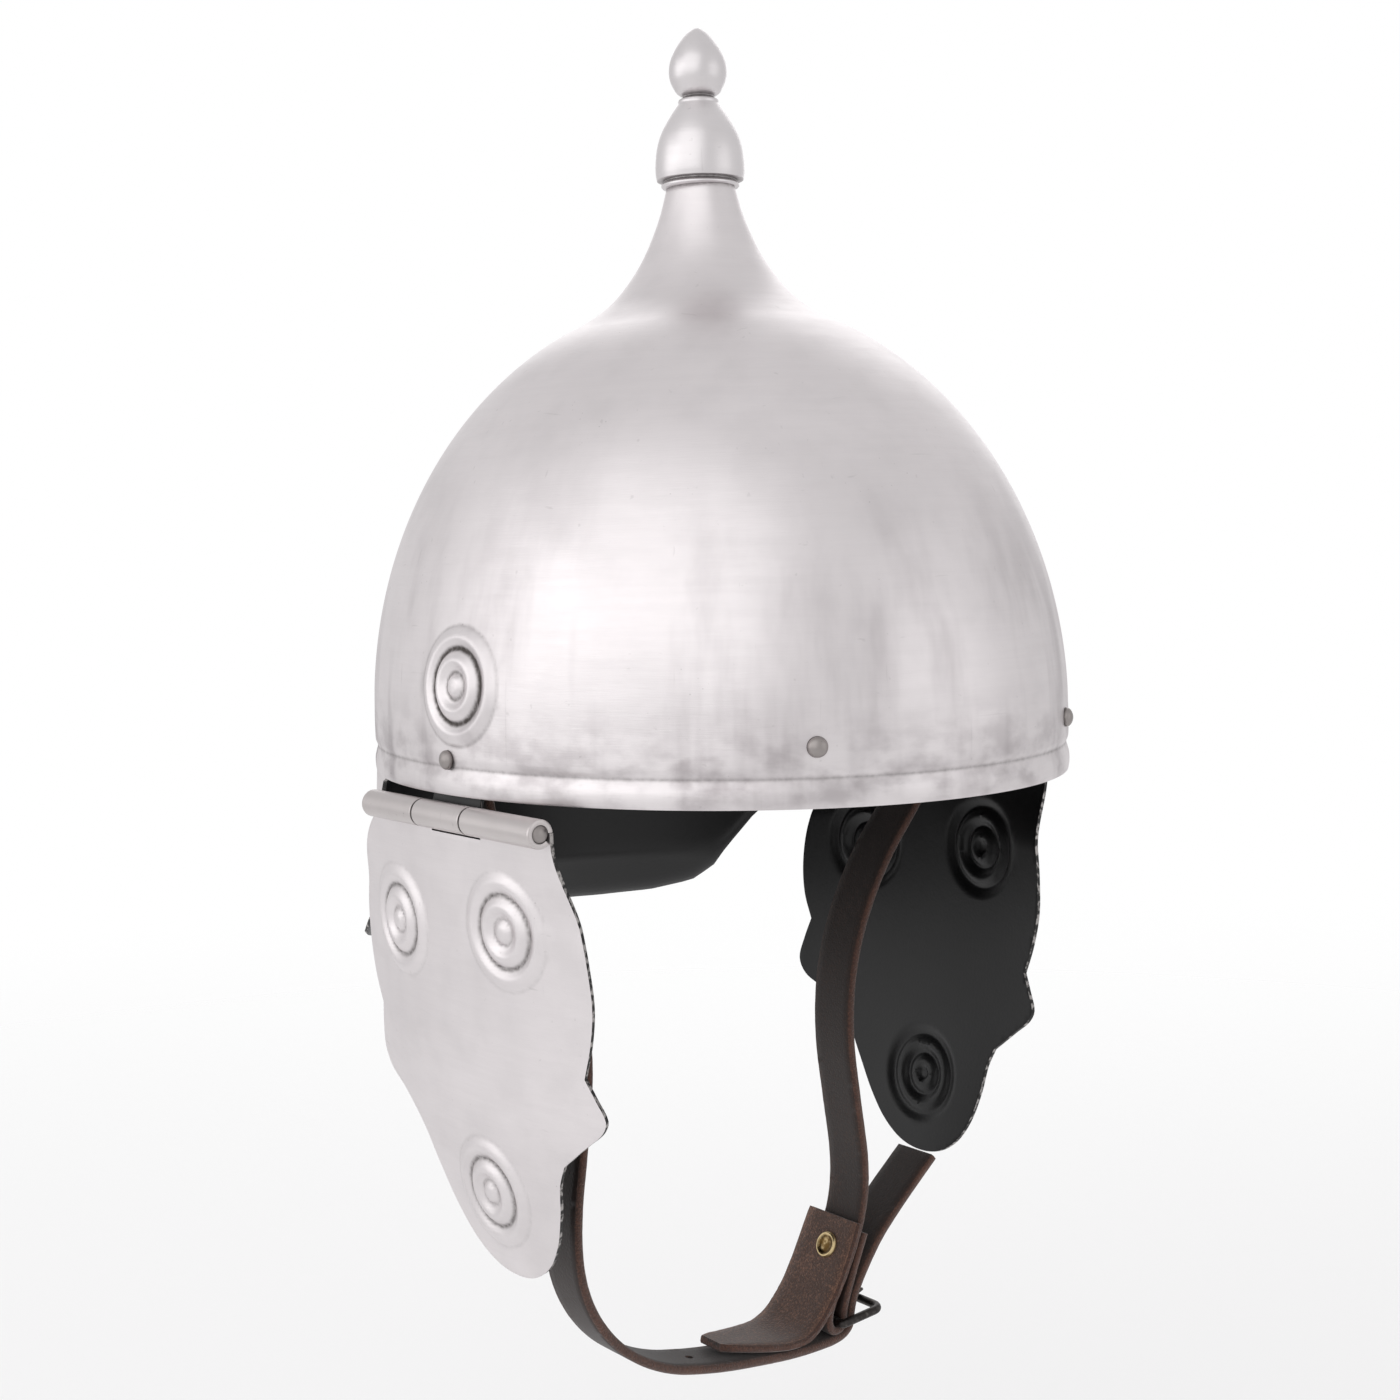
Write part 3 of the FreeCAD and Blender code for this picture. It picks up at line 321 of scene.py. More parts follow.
@dataclass(frozen=True)
class Leather:
    """Leather with grain, pores, creases and lighter worn places."""

    name: str
    tone: tuple
    marked: tuple
    roughness: float = 0.48
    grain: float = 900.0
    grain_depth: float = 0.00007
    fuzz: float = 0.0
    speckle: float = 0.25

    def make(self) -> Material:
        """Builds the material."""
        g = Graph(self.name)
        cloud = g.noise(60.0, 5.0)
        pores = g.cells(self.grain)
        fibre = g.noise(self.grain * 2.2, 4.0)
        crease = g.noise(210.0, 3.0, (1.0, 0.25, 1.0))
        rubbed = g.mask("edge").ramp(0.2, 1.0)
        specks = (0.45 * fibre + 0.55 * g.noise(self.grain * 0.75, 3.0)).ramp(0.48, 0.64)
        mixed = (self.speckle * specks + 0.30 * cloud.ramp(0.45, 0.75) + 0.55 * rubbed).ramp(0.0, 1.1)
        g.feed("Base Color", g.mix(mixed, self.tone, self.marked))
        g.feed("Roughness", self.roughness + 0.12 * (cloud - 0.5) + 0.15 * specks * self.speckle + 0.2 * rubbed)
        g.feed("Specular IOR Level", 0.42)
        if self.fuzz:
            g.feed("Sheen Weight", self.fuzz)
            g.feed("Sheen Roughness", 0.6)
        g.bump(pores.ramp(0.05, 0.6) * 0.6 + fibre * 0.5 + crease * 0.6, self.grain_depth)
        return g.material


@dataclass(frozen=True)
class SmallMetal:
    """Cast or pressed small metal with a dark skin and brighter rubbed places."""

    name: str
    tone: tuple
    rubbed: tuple
    roughness: float = 0.42
    share: float = 0.5

    def make(self) -> Material:
        """Builds the material."""
        g = Graph(self.name)
        cloud = g.noise(420.0, 4.0)
        rubbed = (cloud.ramp(0.42, 0.68) * self.share + g.mask("edge")).ramp(0.0, 1.1)
        g.feed("Base Color", g.mix(rubbed, self.tone, self.rubbed))
        g.feed("Metallic", 1.0)
        g.feed("Roughness", self.roughness + 0.2 * (cloud - 0.5))
        g.bump(cloud * 0.6 + g.noise(2400.0, 3.0) * 0.3, 0.00005)
        return g.material


def finish(recipe: "Steel | Paint | SheetEdge | Leather | SmallMetal") -> Material:
    """Field whose material is built from a recipe when the finishes are made."""
    return field(default_factory=recipe.make)


@dataclass
class Finishes:
    """Every material of the helmet, made once."""

    # Only the bowl gets the painted reflection streaks and the grime and painted shade above the rim.
    bowl: Material = finish(Steel("steel_bowl", painted_runs=1.0))
    plate: Material = finish(Steel("steel_plate", shade(230, 225, 226), brushing=Brushing.LENGTHWISE))
    turned: Material = finish(Steel("steel_turned", shade(228, 224, 225), roughness=0.38, pits=0.25))
    hinge: Material = finish(Steel("steel_hinge", shade(206, 200, 199), roughness=0.38,
                                   brushing=Brushing.LENGTHWISE, pits=0.6))
    fastener: Material = finish(Steel("steel_fastener", shade(160, 154, 152), roughness=0.40,
                                      brushing=Brushing.ANY, pits=0.6))
    paint: Material = finish(Paint("black_paint"))
    edge: Material = finish(SheetEdge("sheet_edge"))
    grain: Material = finish(Leather("strap_grain", shade(36, 25, 22), shade(66, 47, 39)))
    flesh: Material = finish(Leather("strap_flesh", shade(38, 28, 25), shade(70, 50, 41), 0.75, 1300.0, 0.00012,
                                     0.15, 0.5))
    cut: Material = finish(Leather("strap_cut_edge", shade(36, 24, 21), shade(88, 58, 46), 0.85, 1500.0, 0.0002,
                                   0.25, 0.8))
    guard: Material = finish(Leather("guard_flesh", shade(68, 45, 35), shade(132, 95, 76), 0.85, 1500.0,
                                     0.00018, 0.25, 0.75))
    liner: Material = finish(Leather("liner_leather", shade(42, 33, 29), shade(76, 58, 49), 0.70, 1100.0,
                                     0.0001, 0.15, 0.4))
    lace: Material = finish(Leather("lace_leather", shade(74, 52, 40), shade(118, 86, 66), 0.65))
    brass: Material = finish(SmallMetal("antique_brass", shade(96, 74, 42), shade(206, 184, 140), 0.32, 0.7))
    gunmetal: Material = finish(SmallMetal("gunmetal", shade(58, 55, 54), shade(112, 108, 104)))


# ---- modelling tools ---------------------------------------------------------------------------
def smooth_line(points: Sequence[Pair], step: float) -> list[Vector]:
    """Curve through a few points.

    Args:
        points: places the curve passes, as pairs in metres.
        step: wanted distance between the points of the result.

    Returns:
        Points along the curve as 2-D vectors, both ends included.
    """
    knots = [Vector(point) for point in points]
    knots = [2 * knots[0] - knots[1], *knots, 2 * knots[-1] - knots[-2]]
    line: list[Vector] = []
    for before, start, end, after in zip(knots, knots[1:], knots[2:], knots[3:]):
        gaps = [max((b - a).length, 1e-9) ** 0.5 for a, b in ((before, start), (start, end), (end, after))]
        leave = (start - before) / gaps[0] - (end - before) / (gaps[0] + gaps[1]) + (end - start) / gaps[1]
        reach = (end - start) / gaps[1] - (after - start) / (gaps[1] + gaps[2]) + (after - end) / gaps[2]
        leave, reach = leave * gaps[1], reach * gaps[1]
        count = max(1, round((end - start).length / step))
        for i in range(count):
            t = i / count
            line.append(start * (2 * t ** 3 - 3 * t ** 2 + 1) + leave * (t ** 3 - 2 * t ** 2 + t)
                        + end * (3 * t ** 2 - 2 * t ** 3) + reach * (t ** 3 - t ** 2))
    line.append(knots[-2].copy())
    return line


def bent_line(points: Sequence[Pair], count: int) -> list[Vector]:
    """Curve that rounds the corners of a route, touching the middle of each run.

    Args:
        points: corners of the route, as pairs in metres.
        count: points made for each corner.

    Returns:
        Points along the curve as 2-D vectors.
    """
    knots = [Vector(point) for point in points]
    middles = [knots[0]] + [(a + b) / 2 for a, b in zip(knots[1:], knots[2:-1])] + [knots[-1]]
    line: list[Vector] = []
    for start, corner, end in zip(middles, knots[1:-1], middles[1:]):
        for i in range(count):
            t = i / count
            line.append(start * (1 - t) ** 2 + corner * 2 * t * (1 - t) + end * t ** 2)
    line.append(knots[-1].copy())
    return line


def blend_between(points: Sequence[Pair], x: float) -> float:
    """Height of a polyline at x, held level past its ends."""
    if x <= points[0][0]:
        return points[0][1]
    for (x0, y0), (x1, y1) in zip(points, points[1:]):
        if x <= x1:
            return y0 + (y1 - y0) * (x - x0) / (x1 - x0)
    return points[-1][1]


def bell(x: float, centre: float, width: float) -> float:
    """Bell curve of height 1 round a centre."""
    return math.exp(-((x - centre) / width) ** 2)


def edge_chain(bm: BMesh, points: Iterable[Vector]) -> list:
    """Adds a chain of vertices and edges and returns both."""
    verts = [bm.verts.new(point) for point in points]
    edges = [bm.edges.new(pair) for pair in zip(verts, verts[1:])]
    return [*verts, *edges]


def spun(bm: BMesh, profile: Iterable[Vector], steps: int) -> None:
    """Turns a profile in the XZ plane about Z and closes its poles."""
    geometry = edge_chain(bm, profile)
    bmesh.ops.spin(bm, geom=geometry, cent=(0, 0, 0), axis=UP, angle=math.tau, steps=steps, use_merge=True,
                   use_duplicate=False)
    bmesh.ops.remove_doubles(bm, verts=bm.verts, dist=WELD)
    bmesh.ops.recalc_face_normals(bm, faces=bm.faces)


def aimed(point: Vector, direction: Vector) -> Matrix:
    """Placement that takes +Z to a direction at a point."""
    return Matrix.Translation(point) @ direction.to_track_quat("Z", "Y").to_matrix().to_4x4()


def mesh_from(bm: BMesh, name: str) -> bpy.types.Mesh:
    """Turns a bmesh into a mesh and frees it."""
    mesh = bpy.data.meshes.new(name)
    bm.to_mesh(mesh)
    bm.free()
    return mesh


def linked(name: str, data: bpy.types.ID) -> Object:
    """Makes an object and links it into the scene."""
    made = bpy.data.objects.new(name, data)
    bpy.context.scene.collection.objects.link(made)
    return made


def mirrored(bm: BMesh, side: Side) -> None:
    """Turns a left piece into the right one where that is the side."""
    if side is Side.RIGHT:
        bmesh.ops.scale(bm, vec=(-1, 1, 1), verts=bm.verts)
        bmesh.ops.reverse_faces(bm, faces=bm.faces)


def mark_sharp(mesh: bpy.types.Mesh, limit: float) -> None:
    """Smooth shading with sharp edges past a limit in degrees."""
    bm = bmesh.new()
    bm.from_mesh(mesh)
    for face in bm.faces:
        face.smooth = True
    for edge in bm.edges:
        edge.smooth = edge.calc_face_angle(0.0) < math.radians(limit)
    bm.to_mesh(mesh)
    bm.free()


def settled(piece: Object) -> None:
    """Applies every modifier of a piece."""
    bpy.context.view_layer.update()
    graph = bpy.context.evaluated_depsgraph_get()
    mesh = bpy.data.meshes.new_from_object(piece.evaluated_get(graph), preserve_all_data_layers=True,
                                           depsgraph=graph)
    piece.modifiers.clear()
    piece.data = mesh


@dataclass
class Piece:
    """A mesh in the making, with where it will belong."""

    name: str
    body: str
    slot: str
    materials: Sequence[Material]
    replaces: Sequence[str] = ()
    sharp: float = 40.0

    def placed(self, bm: BMesh) -> Object:
        """Makes the object from a bmesh and links it into the scene.

        Args:
            bm: the finished mesh, freed here.

        Returns:
            The new object.
        """
        mesh = mesh_from(bm, self.name)
        piece = linked(self.name, mesh)
        for material in self.materials:
            mesh.materials.append(material)
        return piece

    def finished(self, piece: Object) -> None:
        """Applies modifiers, sets shading and ties the piece to the frame."""
        settled(piece)
        mark_sharp(piece.data, self.sharp)
        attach(piece, self.body)
        if self.replaces:
            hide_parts(*self.replaces)
        LOG.info("%s: %d faces on %s", self.name, len(piece.data.polygons), self.body)

    def made(self, bm: BMesh) -> None:
        """Places and finishes a mesh that needs no modifier."""
        self.finished(self.placed(bm))


def thicken(piece: Object, thickness: float, round_over: float) -> None:
    """Gives a sheet its wall, painted inside, and softens its cut edge.

    Args:
        piece: open sheet with its outer face outwards.
        thickness: wall in metres.
        round_over: bevel of the cut edge in metres.
    """
    wall = piece.modifiers.new("wall", "SOLIDIFY")
    wall.thickness = thickness
    wall.offset = -1.0
    wall.use_even_offset = True
    wall.material_offset = 1
    wall.material_offset_rim = 2
    edge = piece.modifiers.new("edge", "BEVEL")
    edge.width = round_over
    edge.segments = 2
    edge.limit_method = "ANGLE"
    edge.angle_limit = math.radians(50)


# ---- embossed bosses ---------------------------------------------------------------------------
@dataclass(frozen=True)
class Boss:
    """Round boss embossed from inside: knob, ring and broad outer ring with grooves between."""

    radius: float = 18.0 * MM
    height: float = 2.0 * MM
    knob_groove: float = 0.225
    ring_groove: float = 0.62
    refined: float = 1.22
    reach: float = 1.3

    def profile(self) -> list[Vector]:
        """Rise against radius, both as shares."""
        stations = ((0.0, 0.92), (0.12, 0.80), (0.21, 0.20), (0.27, 0.30), (0.42, 1.0), (0.56, 0.35),
                    (0.62, 0.02), (0.68, 0.24), (0.80, 0.74), (0.91, 0.42), (1.0, 0.0))
        return smooth_line(stations, 0.02)

    def shape(self, line: Sequence[Vector], away: float) -> tuple[float, float]:
        """Rise and darkening, patina and painted shade, at a distance from the centre.

        Args:
            line: the profile.
            away: distance in metres.

        Returns:
            Rise in metres and darkening, patina and painted shade, from 0 to 1.
        """
        share = away / self.radius
        foot = 0.35 * bell(share, 1.0, 0.05)
        if share >= 1.0:
            return 0.0, foot
        rise = self.height * max(blend_between([(p.x, p.y) for p in line], share), 0.0)
        # Patina and painted shade in the grooves between the rings and round the boss's foot.
        dark = bell(share, self.ring_groove, 0.055) + 0.65 * bell(share, self.knob_groove, 0.045) + foot
        return rise, min(dark, 1.0)


def emboss(bm: BMesh, sites: Sequence[Site], boss: Boss, stain_and_painted_shade: float) -> None:
    """Raises a boss at each site of a sheet and darkens its grooves with patina and painted shade.

    Args:
        bm: the sheet.
        sites: centre and outward normal of each boss.
        boss: what is raised.
        stain_and_painted_shade: how dark the patina and painted shade in the grooves are, up to 1.
    """
    layer = bm.verts.layers.float.get("patina_and_painted_shade") or bm.verts.layers.float.new("patina_and_painted_shade")
    line = boss.profile()
    for centre, normal in sites:
        for vert in bm.verts:
            offset = vert.co - centre
            if offset.length > boss.radius * boss.reach:
                continue
            away = (offset - normal * offset.dot(normal)).length
            rise, dark = boss.shape(line, away)
            vert.co += normal * rise
            vert[layer] = max(vert[layer], dark * stain_and_painted_shade)


# ---- bowl --------------------------------------------------------------------------------------
@dataclass
class Bowl:
    """Raised bowl with its conical neck, rim band, temple bosses and flared neck guard."""

    finishes: Finishes
    sheet: float = 1.25 * MM
    radius: float = 114.0 * MM
    ovality: float = 1.0766
    dome_base: float = 17.5 * MM
    dome_height: float = 134.3 * MM
    neck_start: float = 143.5 * MM
    neck_top: float = 186.17 * MM
    neck_top_radius: float = 11.15 * MM
    rim_radius: float = 113.9 * MM
    guard_drop: float = 68.0 * MM
    guard_crease: float = 50.0 * MM
    guard_front: float = 46.0 * MM
    guard_rows: int = 34
    lip_height: float = 4.5 * MM
    lip_flare: float = 1.3 * MM
    lip_from: float = 8.0 * MM
    band_groove: float = 8.3 * MM
    temple: Pair = (-10.3 * MM, 32.5 * MM)
    steps: int = 192
    shoulder_steps: int = 14

    @property
    def half_width(self) -> float:
        """Half the bowl's width at the top of its wall."""
        return self.radius / self.ovality

    @property
    def half_length(self) -> float:
        """Half the bowl's length at the top of its wall."""
        return self.radius * self.ovality

    def dome_radius(self, z: float) -> float:
        """Mean radius of the dome at a height."""
        share = max(z - self.dome_base, 0.0) / self.dome_height
        return self.radius * math.sqrt(1.0 - share * share)

    def profile(self) -> list[Vector]:
        """Outer profile from the top of the neck down to the rim's lower edge."""
        drop = self.dome_radius(self.neck_start) - self.neck_top_radius
        rise = self.neck_top - self.neck_start
        stations = ((0.0, 1.0), (0.10, 0.77), (0.33, 0.44), (0.66, 0.16), (1.0, 0.0))
        shoulder = [(self.neck_top_radius + drop * out, self.neck_start + rise * up) for out, up in stations]
        steepest = math.asin((self.neck_start - self.dome_base) / self.dome_height)
        for i in range(1, self.shoulder_steps + 1):
            angle = steepest * (1 - i / self.shoulder_steps)
            shoulder.append((self.radius * math.cos(angle),
                             self.dome_base + self.dome_height * math.sin(angle)))
        line = smooth_line(shoulder, 2.0 * MM)
        band = ((self.radius, self.dome_base), (self.radius, 12.0 * MM), (self.radius - 0.1 * MM, 10.2 * MM),
                (self.radius - 0.75 * MM, self.band_groove), (self.radius - 0.35 * MM, 6.6 * MM),
                (self.radius + 0.15 * MM, 4.6 * MM), (self.radius + 0.2 * MM, 2.0 * MM), (self.rim_radius, 0.0))
        line += smooth_line(band, 0.8 * MM)[1:]
        return [Vector((0, 0, self.neck_top))] + [Vector((p.x, 0, p.y)) for p in line]

    def skirt_radius(self, down: float) -> float:
        """Mean radius of the neck guard's sheet at a distance under the rim."""
        flare = ((0.0, 0.0), (self.guard_crease - 3 * MM, 2.6 * MM), (self.guard_crease, 3.2 * MM),
                 (self.guard_crease + 3 * MM, 5.3 * MM), (self.guard_drop, 15.0 * MM))
        return self.rim_radius + blend_between(flare, down)

    def guard_depth(self, angle: float) -> float:
        """How far the guard hangs below the rim at an angle round from the left side."""
        reach = self.half_length - self.guard_front
        shares = ((0.0, 0.0), (0.19, 0.26), (0.42, 0.51), (0.60, 0.79), (0.76, 0.92), (0.93, 0.98), (1.08, 1.0))
        depth = 0.0
        rounds_to_settle = 12
        for _ in range(rounds_to_settle):
            y = self.skirt_radius(depth) * self.ovality * math.sin(angle)
            depth = 0.5 * depth + 0.5 * self.guard_drop * blend_between(shares, (y - self.guard_front) / reach)
        return depth

    def add_guard(self, bm: BMesh) -> None:
        """Pulls the skirt of the bowl out into the neck guard.

        The rim's lower edge loop is extruded downwards in rows, each row placed at a share of the depth there.
        """
        least_depth = 0.4 * MM
        rim = [e for e in bm.edges if e.is_boundary]
        angles = {v: math.atan2(v.co.y, v.co.x) for e in rim for v in e.verts}
        depths = {vert: self.guard_depth(angle) for vert, angle in angles.items()}
        edges = [e for e in rim if max(depths[v] for v in e.verts) > least_depth]
        place = {v: (angles[v], depths[v]) for e in edges for v in e.verts}
        for row in range(1, self.guard_rows + 1):
            made = bmesh.ops.extrude_edge_only(bm, edges=edges)["geom"]
            edges = [g for g in made if isinstance(g, bmesh.types.BMEdge)]
            fresh = [g for g in made if isinstance(g, bmesh.types.BMVert)]
            nearest = {}
            for vert in fresh:
                angle = math.atan2(vert.co.y, vert.co.x)
                old = min(place, key=lambda v: abs(place[v][0] - angle))
                nearest[vert] = place[old]
            for vert, (angle, depth) in nearest.items():
                down = depth * (row / self.guard_rows)
                lip = max(0.0, 1.0 - (depth - down) / self.lip_height) if depth > self.lip_from else 0.0
                radius = self.skirt_radius(down) + self.lip_flare * lip * lip
                vert.co = Vector((radius * math.cos(angle), radius * math.sin(angle), -down))
            place = nearest

    def temple_sites(self) -> list[Site]:
        """Centres and normals of the two temple bosses."""
        sites = []
        wide, long = self.half_width, self.half_length
        y, z = self.temple
        up = (z - self.dome_base) / self.dome_height
        for side in Side:
            x = side.value * wide * math.sqrt(1 - (y / long) ** 2 - up ** 2)
            normal = Vector((x / wide ** 2, y / long ** 2, up / self.dome_height)).normalized()
            sites.append((Vector((x, y, z)), normal))
        return sites

    def refine(self, bm: BMesh, sites: Sequence[Site], boss: Boss) -> None:
        """Splits the sheet finely round each boss and puts the new points back on the dome."""
        band_top = 12 * MM
        for centre, _ in sites:
            near = [e for e in bm.edges
                    if all((v.co - centre).length < boss.radius * boss.refined for v in e.verts)]
            bmesh.ops.subdivide_edges(bm, edges=near, cuts=4, use_grid_fill=True)
            for vert in bm.verts:
                if (vert.co - centre).length < boss.radius * boss.reach and vert.co.z > band_top:
                    mean = math.hypot(vert.co.x * self.ovality, vert.co.y / self.ovality)
                    grow = self.dome_radius(vert.co.z) / mean
                    vert.co.x *= grow
                    vert.co.y *= grow

    def make(self) -> None:
        """Builds the bowl."""
        bm = bmesh.new()
        spun(bm, self.profile(), self.steps)
        self.add_guard(bm)
        bmesh.ops.scale(bm, vec=(1 / self.ovality, self.ovality, 1.0), verts=bm.verts)
        boss = Boss()
        sites = self.temple_sites()
        self.refine(bm, sites, boss)
        emboss(bm, sites, boss, 1.0)
        layer = bm.verts.layers.float.get("patina_and_painted_shade")
        # Patina and painted shade along the rim band's groove and round the neck top where the finial sits.
        for vert in bm.verts:
            groove = 0.45 * bell(vert.co.z, self.band_groove, 0.8 * MM)
            seat = 0.5 * bell(vert.co.z, self.neck_top, 0.9 * MM)
            vert[layer] = max(vert[layer], groove, seat)
        bmesh.ops.recalc_face_normals(bm, faces=bm.faces)
        if bm.faces[0].normal.dot(bm.faces[0].calc_center_median()) < 0:
            bmesh.ops.reverse_faces(bm, faces=bm.faces)
        materials = (self.finishes.bowl, self.finishes.paint, self.finishes.edge)
        piece = Piece("bowl_shell", "helmet", "steel", materials, ("bowl",), 46.0)
        made = piece.placed(bm)
        thicken(made, self.sheet, 0.3 * MM)
        piece.finished(made)


# ---- finial ------------------------------------------------------------------------------------
@dataclass
class Finial:
    """Two turned bulbs on the neck."""

    finishes: Finishes
    base: float = 186.17 * MM
    ring_groove: float = 2.1
    waist: float = 28.4
    lower: Sequence[Pair] = ((14.0, 2.5), (14.35, 4.4), (14.4, 7.0), (13.9, 12.0), (12.9, 15.9), (11.4, 19.2),
                             (9.1, 23.0), (7.4, 25.4), (6.55, 26.6))
    upper: Sequence[Pair] = ((5.1, 29.0), (6.9, 30.1), (8.05, 31.9), (8.95, 33.9), (9.35, 36.2), (9.2, 38.6),
                             (8.6, 40.9), (7.3, 43.6), (5.6, 46.2), (3.9, 48.2), (2.2, 49.6), (0.9, 50.35),
                             (0.0, 50.5))

    def line(self, stations: Sequence[Pair]) -> list[Vector]:
        """Profile points in metres above the neck."""
        return [Vector((r * MM, 0, self.base + z * MM)) for r, z in stations]

    def curve(self, stations: Sequence[Pair]) -> list[Vector]:
        """Smooth profile through a few stations."""
        return self.line([(p.x, p.y) for p in smooth_line(stations, 0.5)])

    def turned_piece(self, name: str, profile: list[Vector], node: str) -> None:
        """Spins a profile and darkens its necks with patina and painted shade."""
        bm = bmesh.new()
        spun(bm, profile, 96)
        layer = bm.verts.layers.float.new("patina_and_painted_shade")
        for vert in bm.verts:
            z = (vert.co.z - self.base) / MM
            vert[layer] = 0.7 * bell(z, self.ring_groove, 0.45) + 0.7 * bell(z, self.waist, 0.8)
        Piece(name, "helmet", "bright_steel", (self.finishes.turned,), (node,), 30.0).made(bm)

    def make(self) -> None:
        """Builds both bulbs."""
        ring = self.line(((0.0, 0.02), (11.9, 0.02))) + self.curve(((12.2, 0.1), (12.6, 0.5), (12.65, 1.0),
                                                                      (12.3, 1.5), (11.9, 1.75)))
        groove = self.line(((11.75, 1.95), (11.8, 2.3), (13.4, 2.4)))
        cap = self.line(((6.5, 26.8), (6.6, 27.3), (6.4, 27.8), (5.5, 28.3), (5.1, 28.6), (0.0, 28.6)))
        lower = ring + groove + self.curve(self.lower) + cap
        self.turned_piece("finial_bulb_lower", lower, "finial_lower_bulb")
        foot = self.line(((0.0, 28.62), (4.9, 28.62)))
        self.turned_piece("finial_bulb_upper", foot + self.curve(self.upper), "finial_upper_bulb")


# ---- hinges and cheek plates -------------------------------------------------------------------
@dataclass
class HingeLine:
    """Where a cheek plate's hinge lies, shared by its knuckles, leaf and plate."""

    x: float = 106.99 * MM
    z: float = -6.3 * MM
    outer: float = 4.25 * MM
    bore: float = 2.56 * MM
    front: float = -54.6 * MM
    slot_front: float = -18.775 * MM
    slot_rear: float = 8.175 * MM
    rear: float = 37.5 * MM
    gap: float = 0.35 * MM
    roll: float = 316.0
    roll_steps: int = 44
    end_loops: Sequence[float] = (0.0, 0.9 * MM, 1.8 * MM)

    def add_knuckle(self, bm: BMesh, front: float, rear: float) -> None:
        """Rolls a strip of sheet round the pin between two places along Y.

        Args:
            bm: receives the knuckle, on the left side.
            front: front end.
            rear: rear end.
        """
        near = [front + away for away in self.end_loops]
        far = [rear - away for away in reversed(self.end_loops)]
        stations = [*near, (front + rear) / 2, *far]
        rows = len(stations) - 1
        grid = [(r, y) for r in (self.bore, self.outer) for y in stations]
        verts = [bm.verts.new((self.x - r, y, self.z)) for r, y in grid]
        span = rows + 1
        faces = [bm.faces.new((verts[i], verts[i + 1], verts[span + i + 1], verts[span + i]))
                 for i in range(rows)]
        geometry = [*verts, *faces, *{e for f in faces for e in f.edges}]
        bmesh.ops.spin(bm, geom=geometry, cent=(self.x, 0, self.z), axis=AXIS_Y, angle=math.radians(self.roll),
                       steps=self.roll_steps, use_duplicate=False)


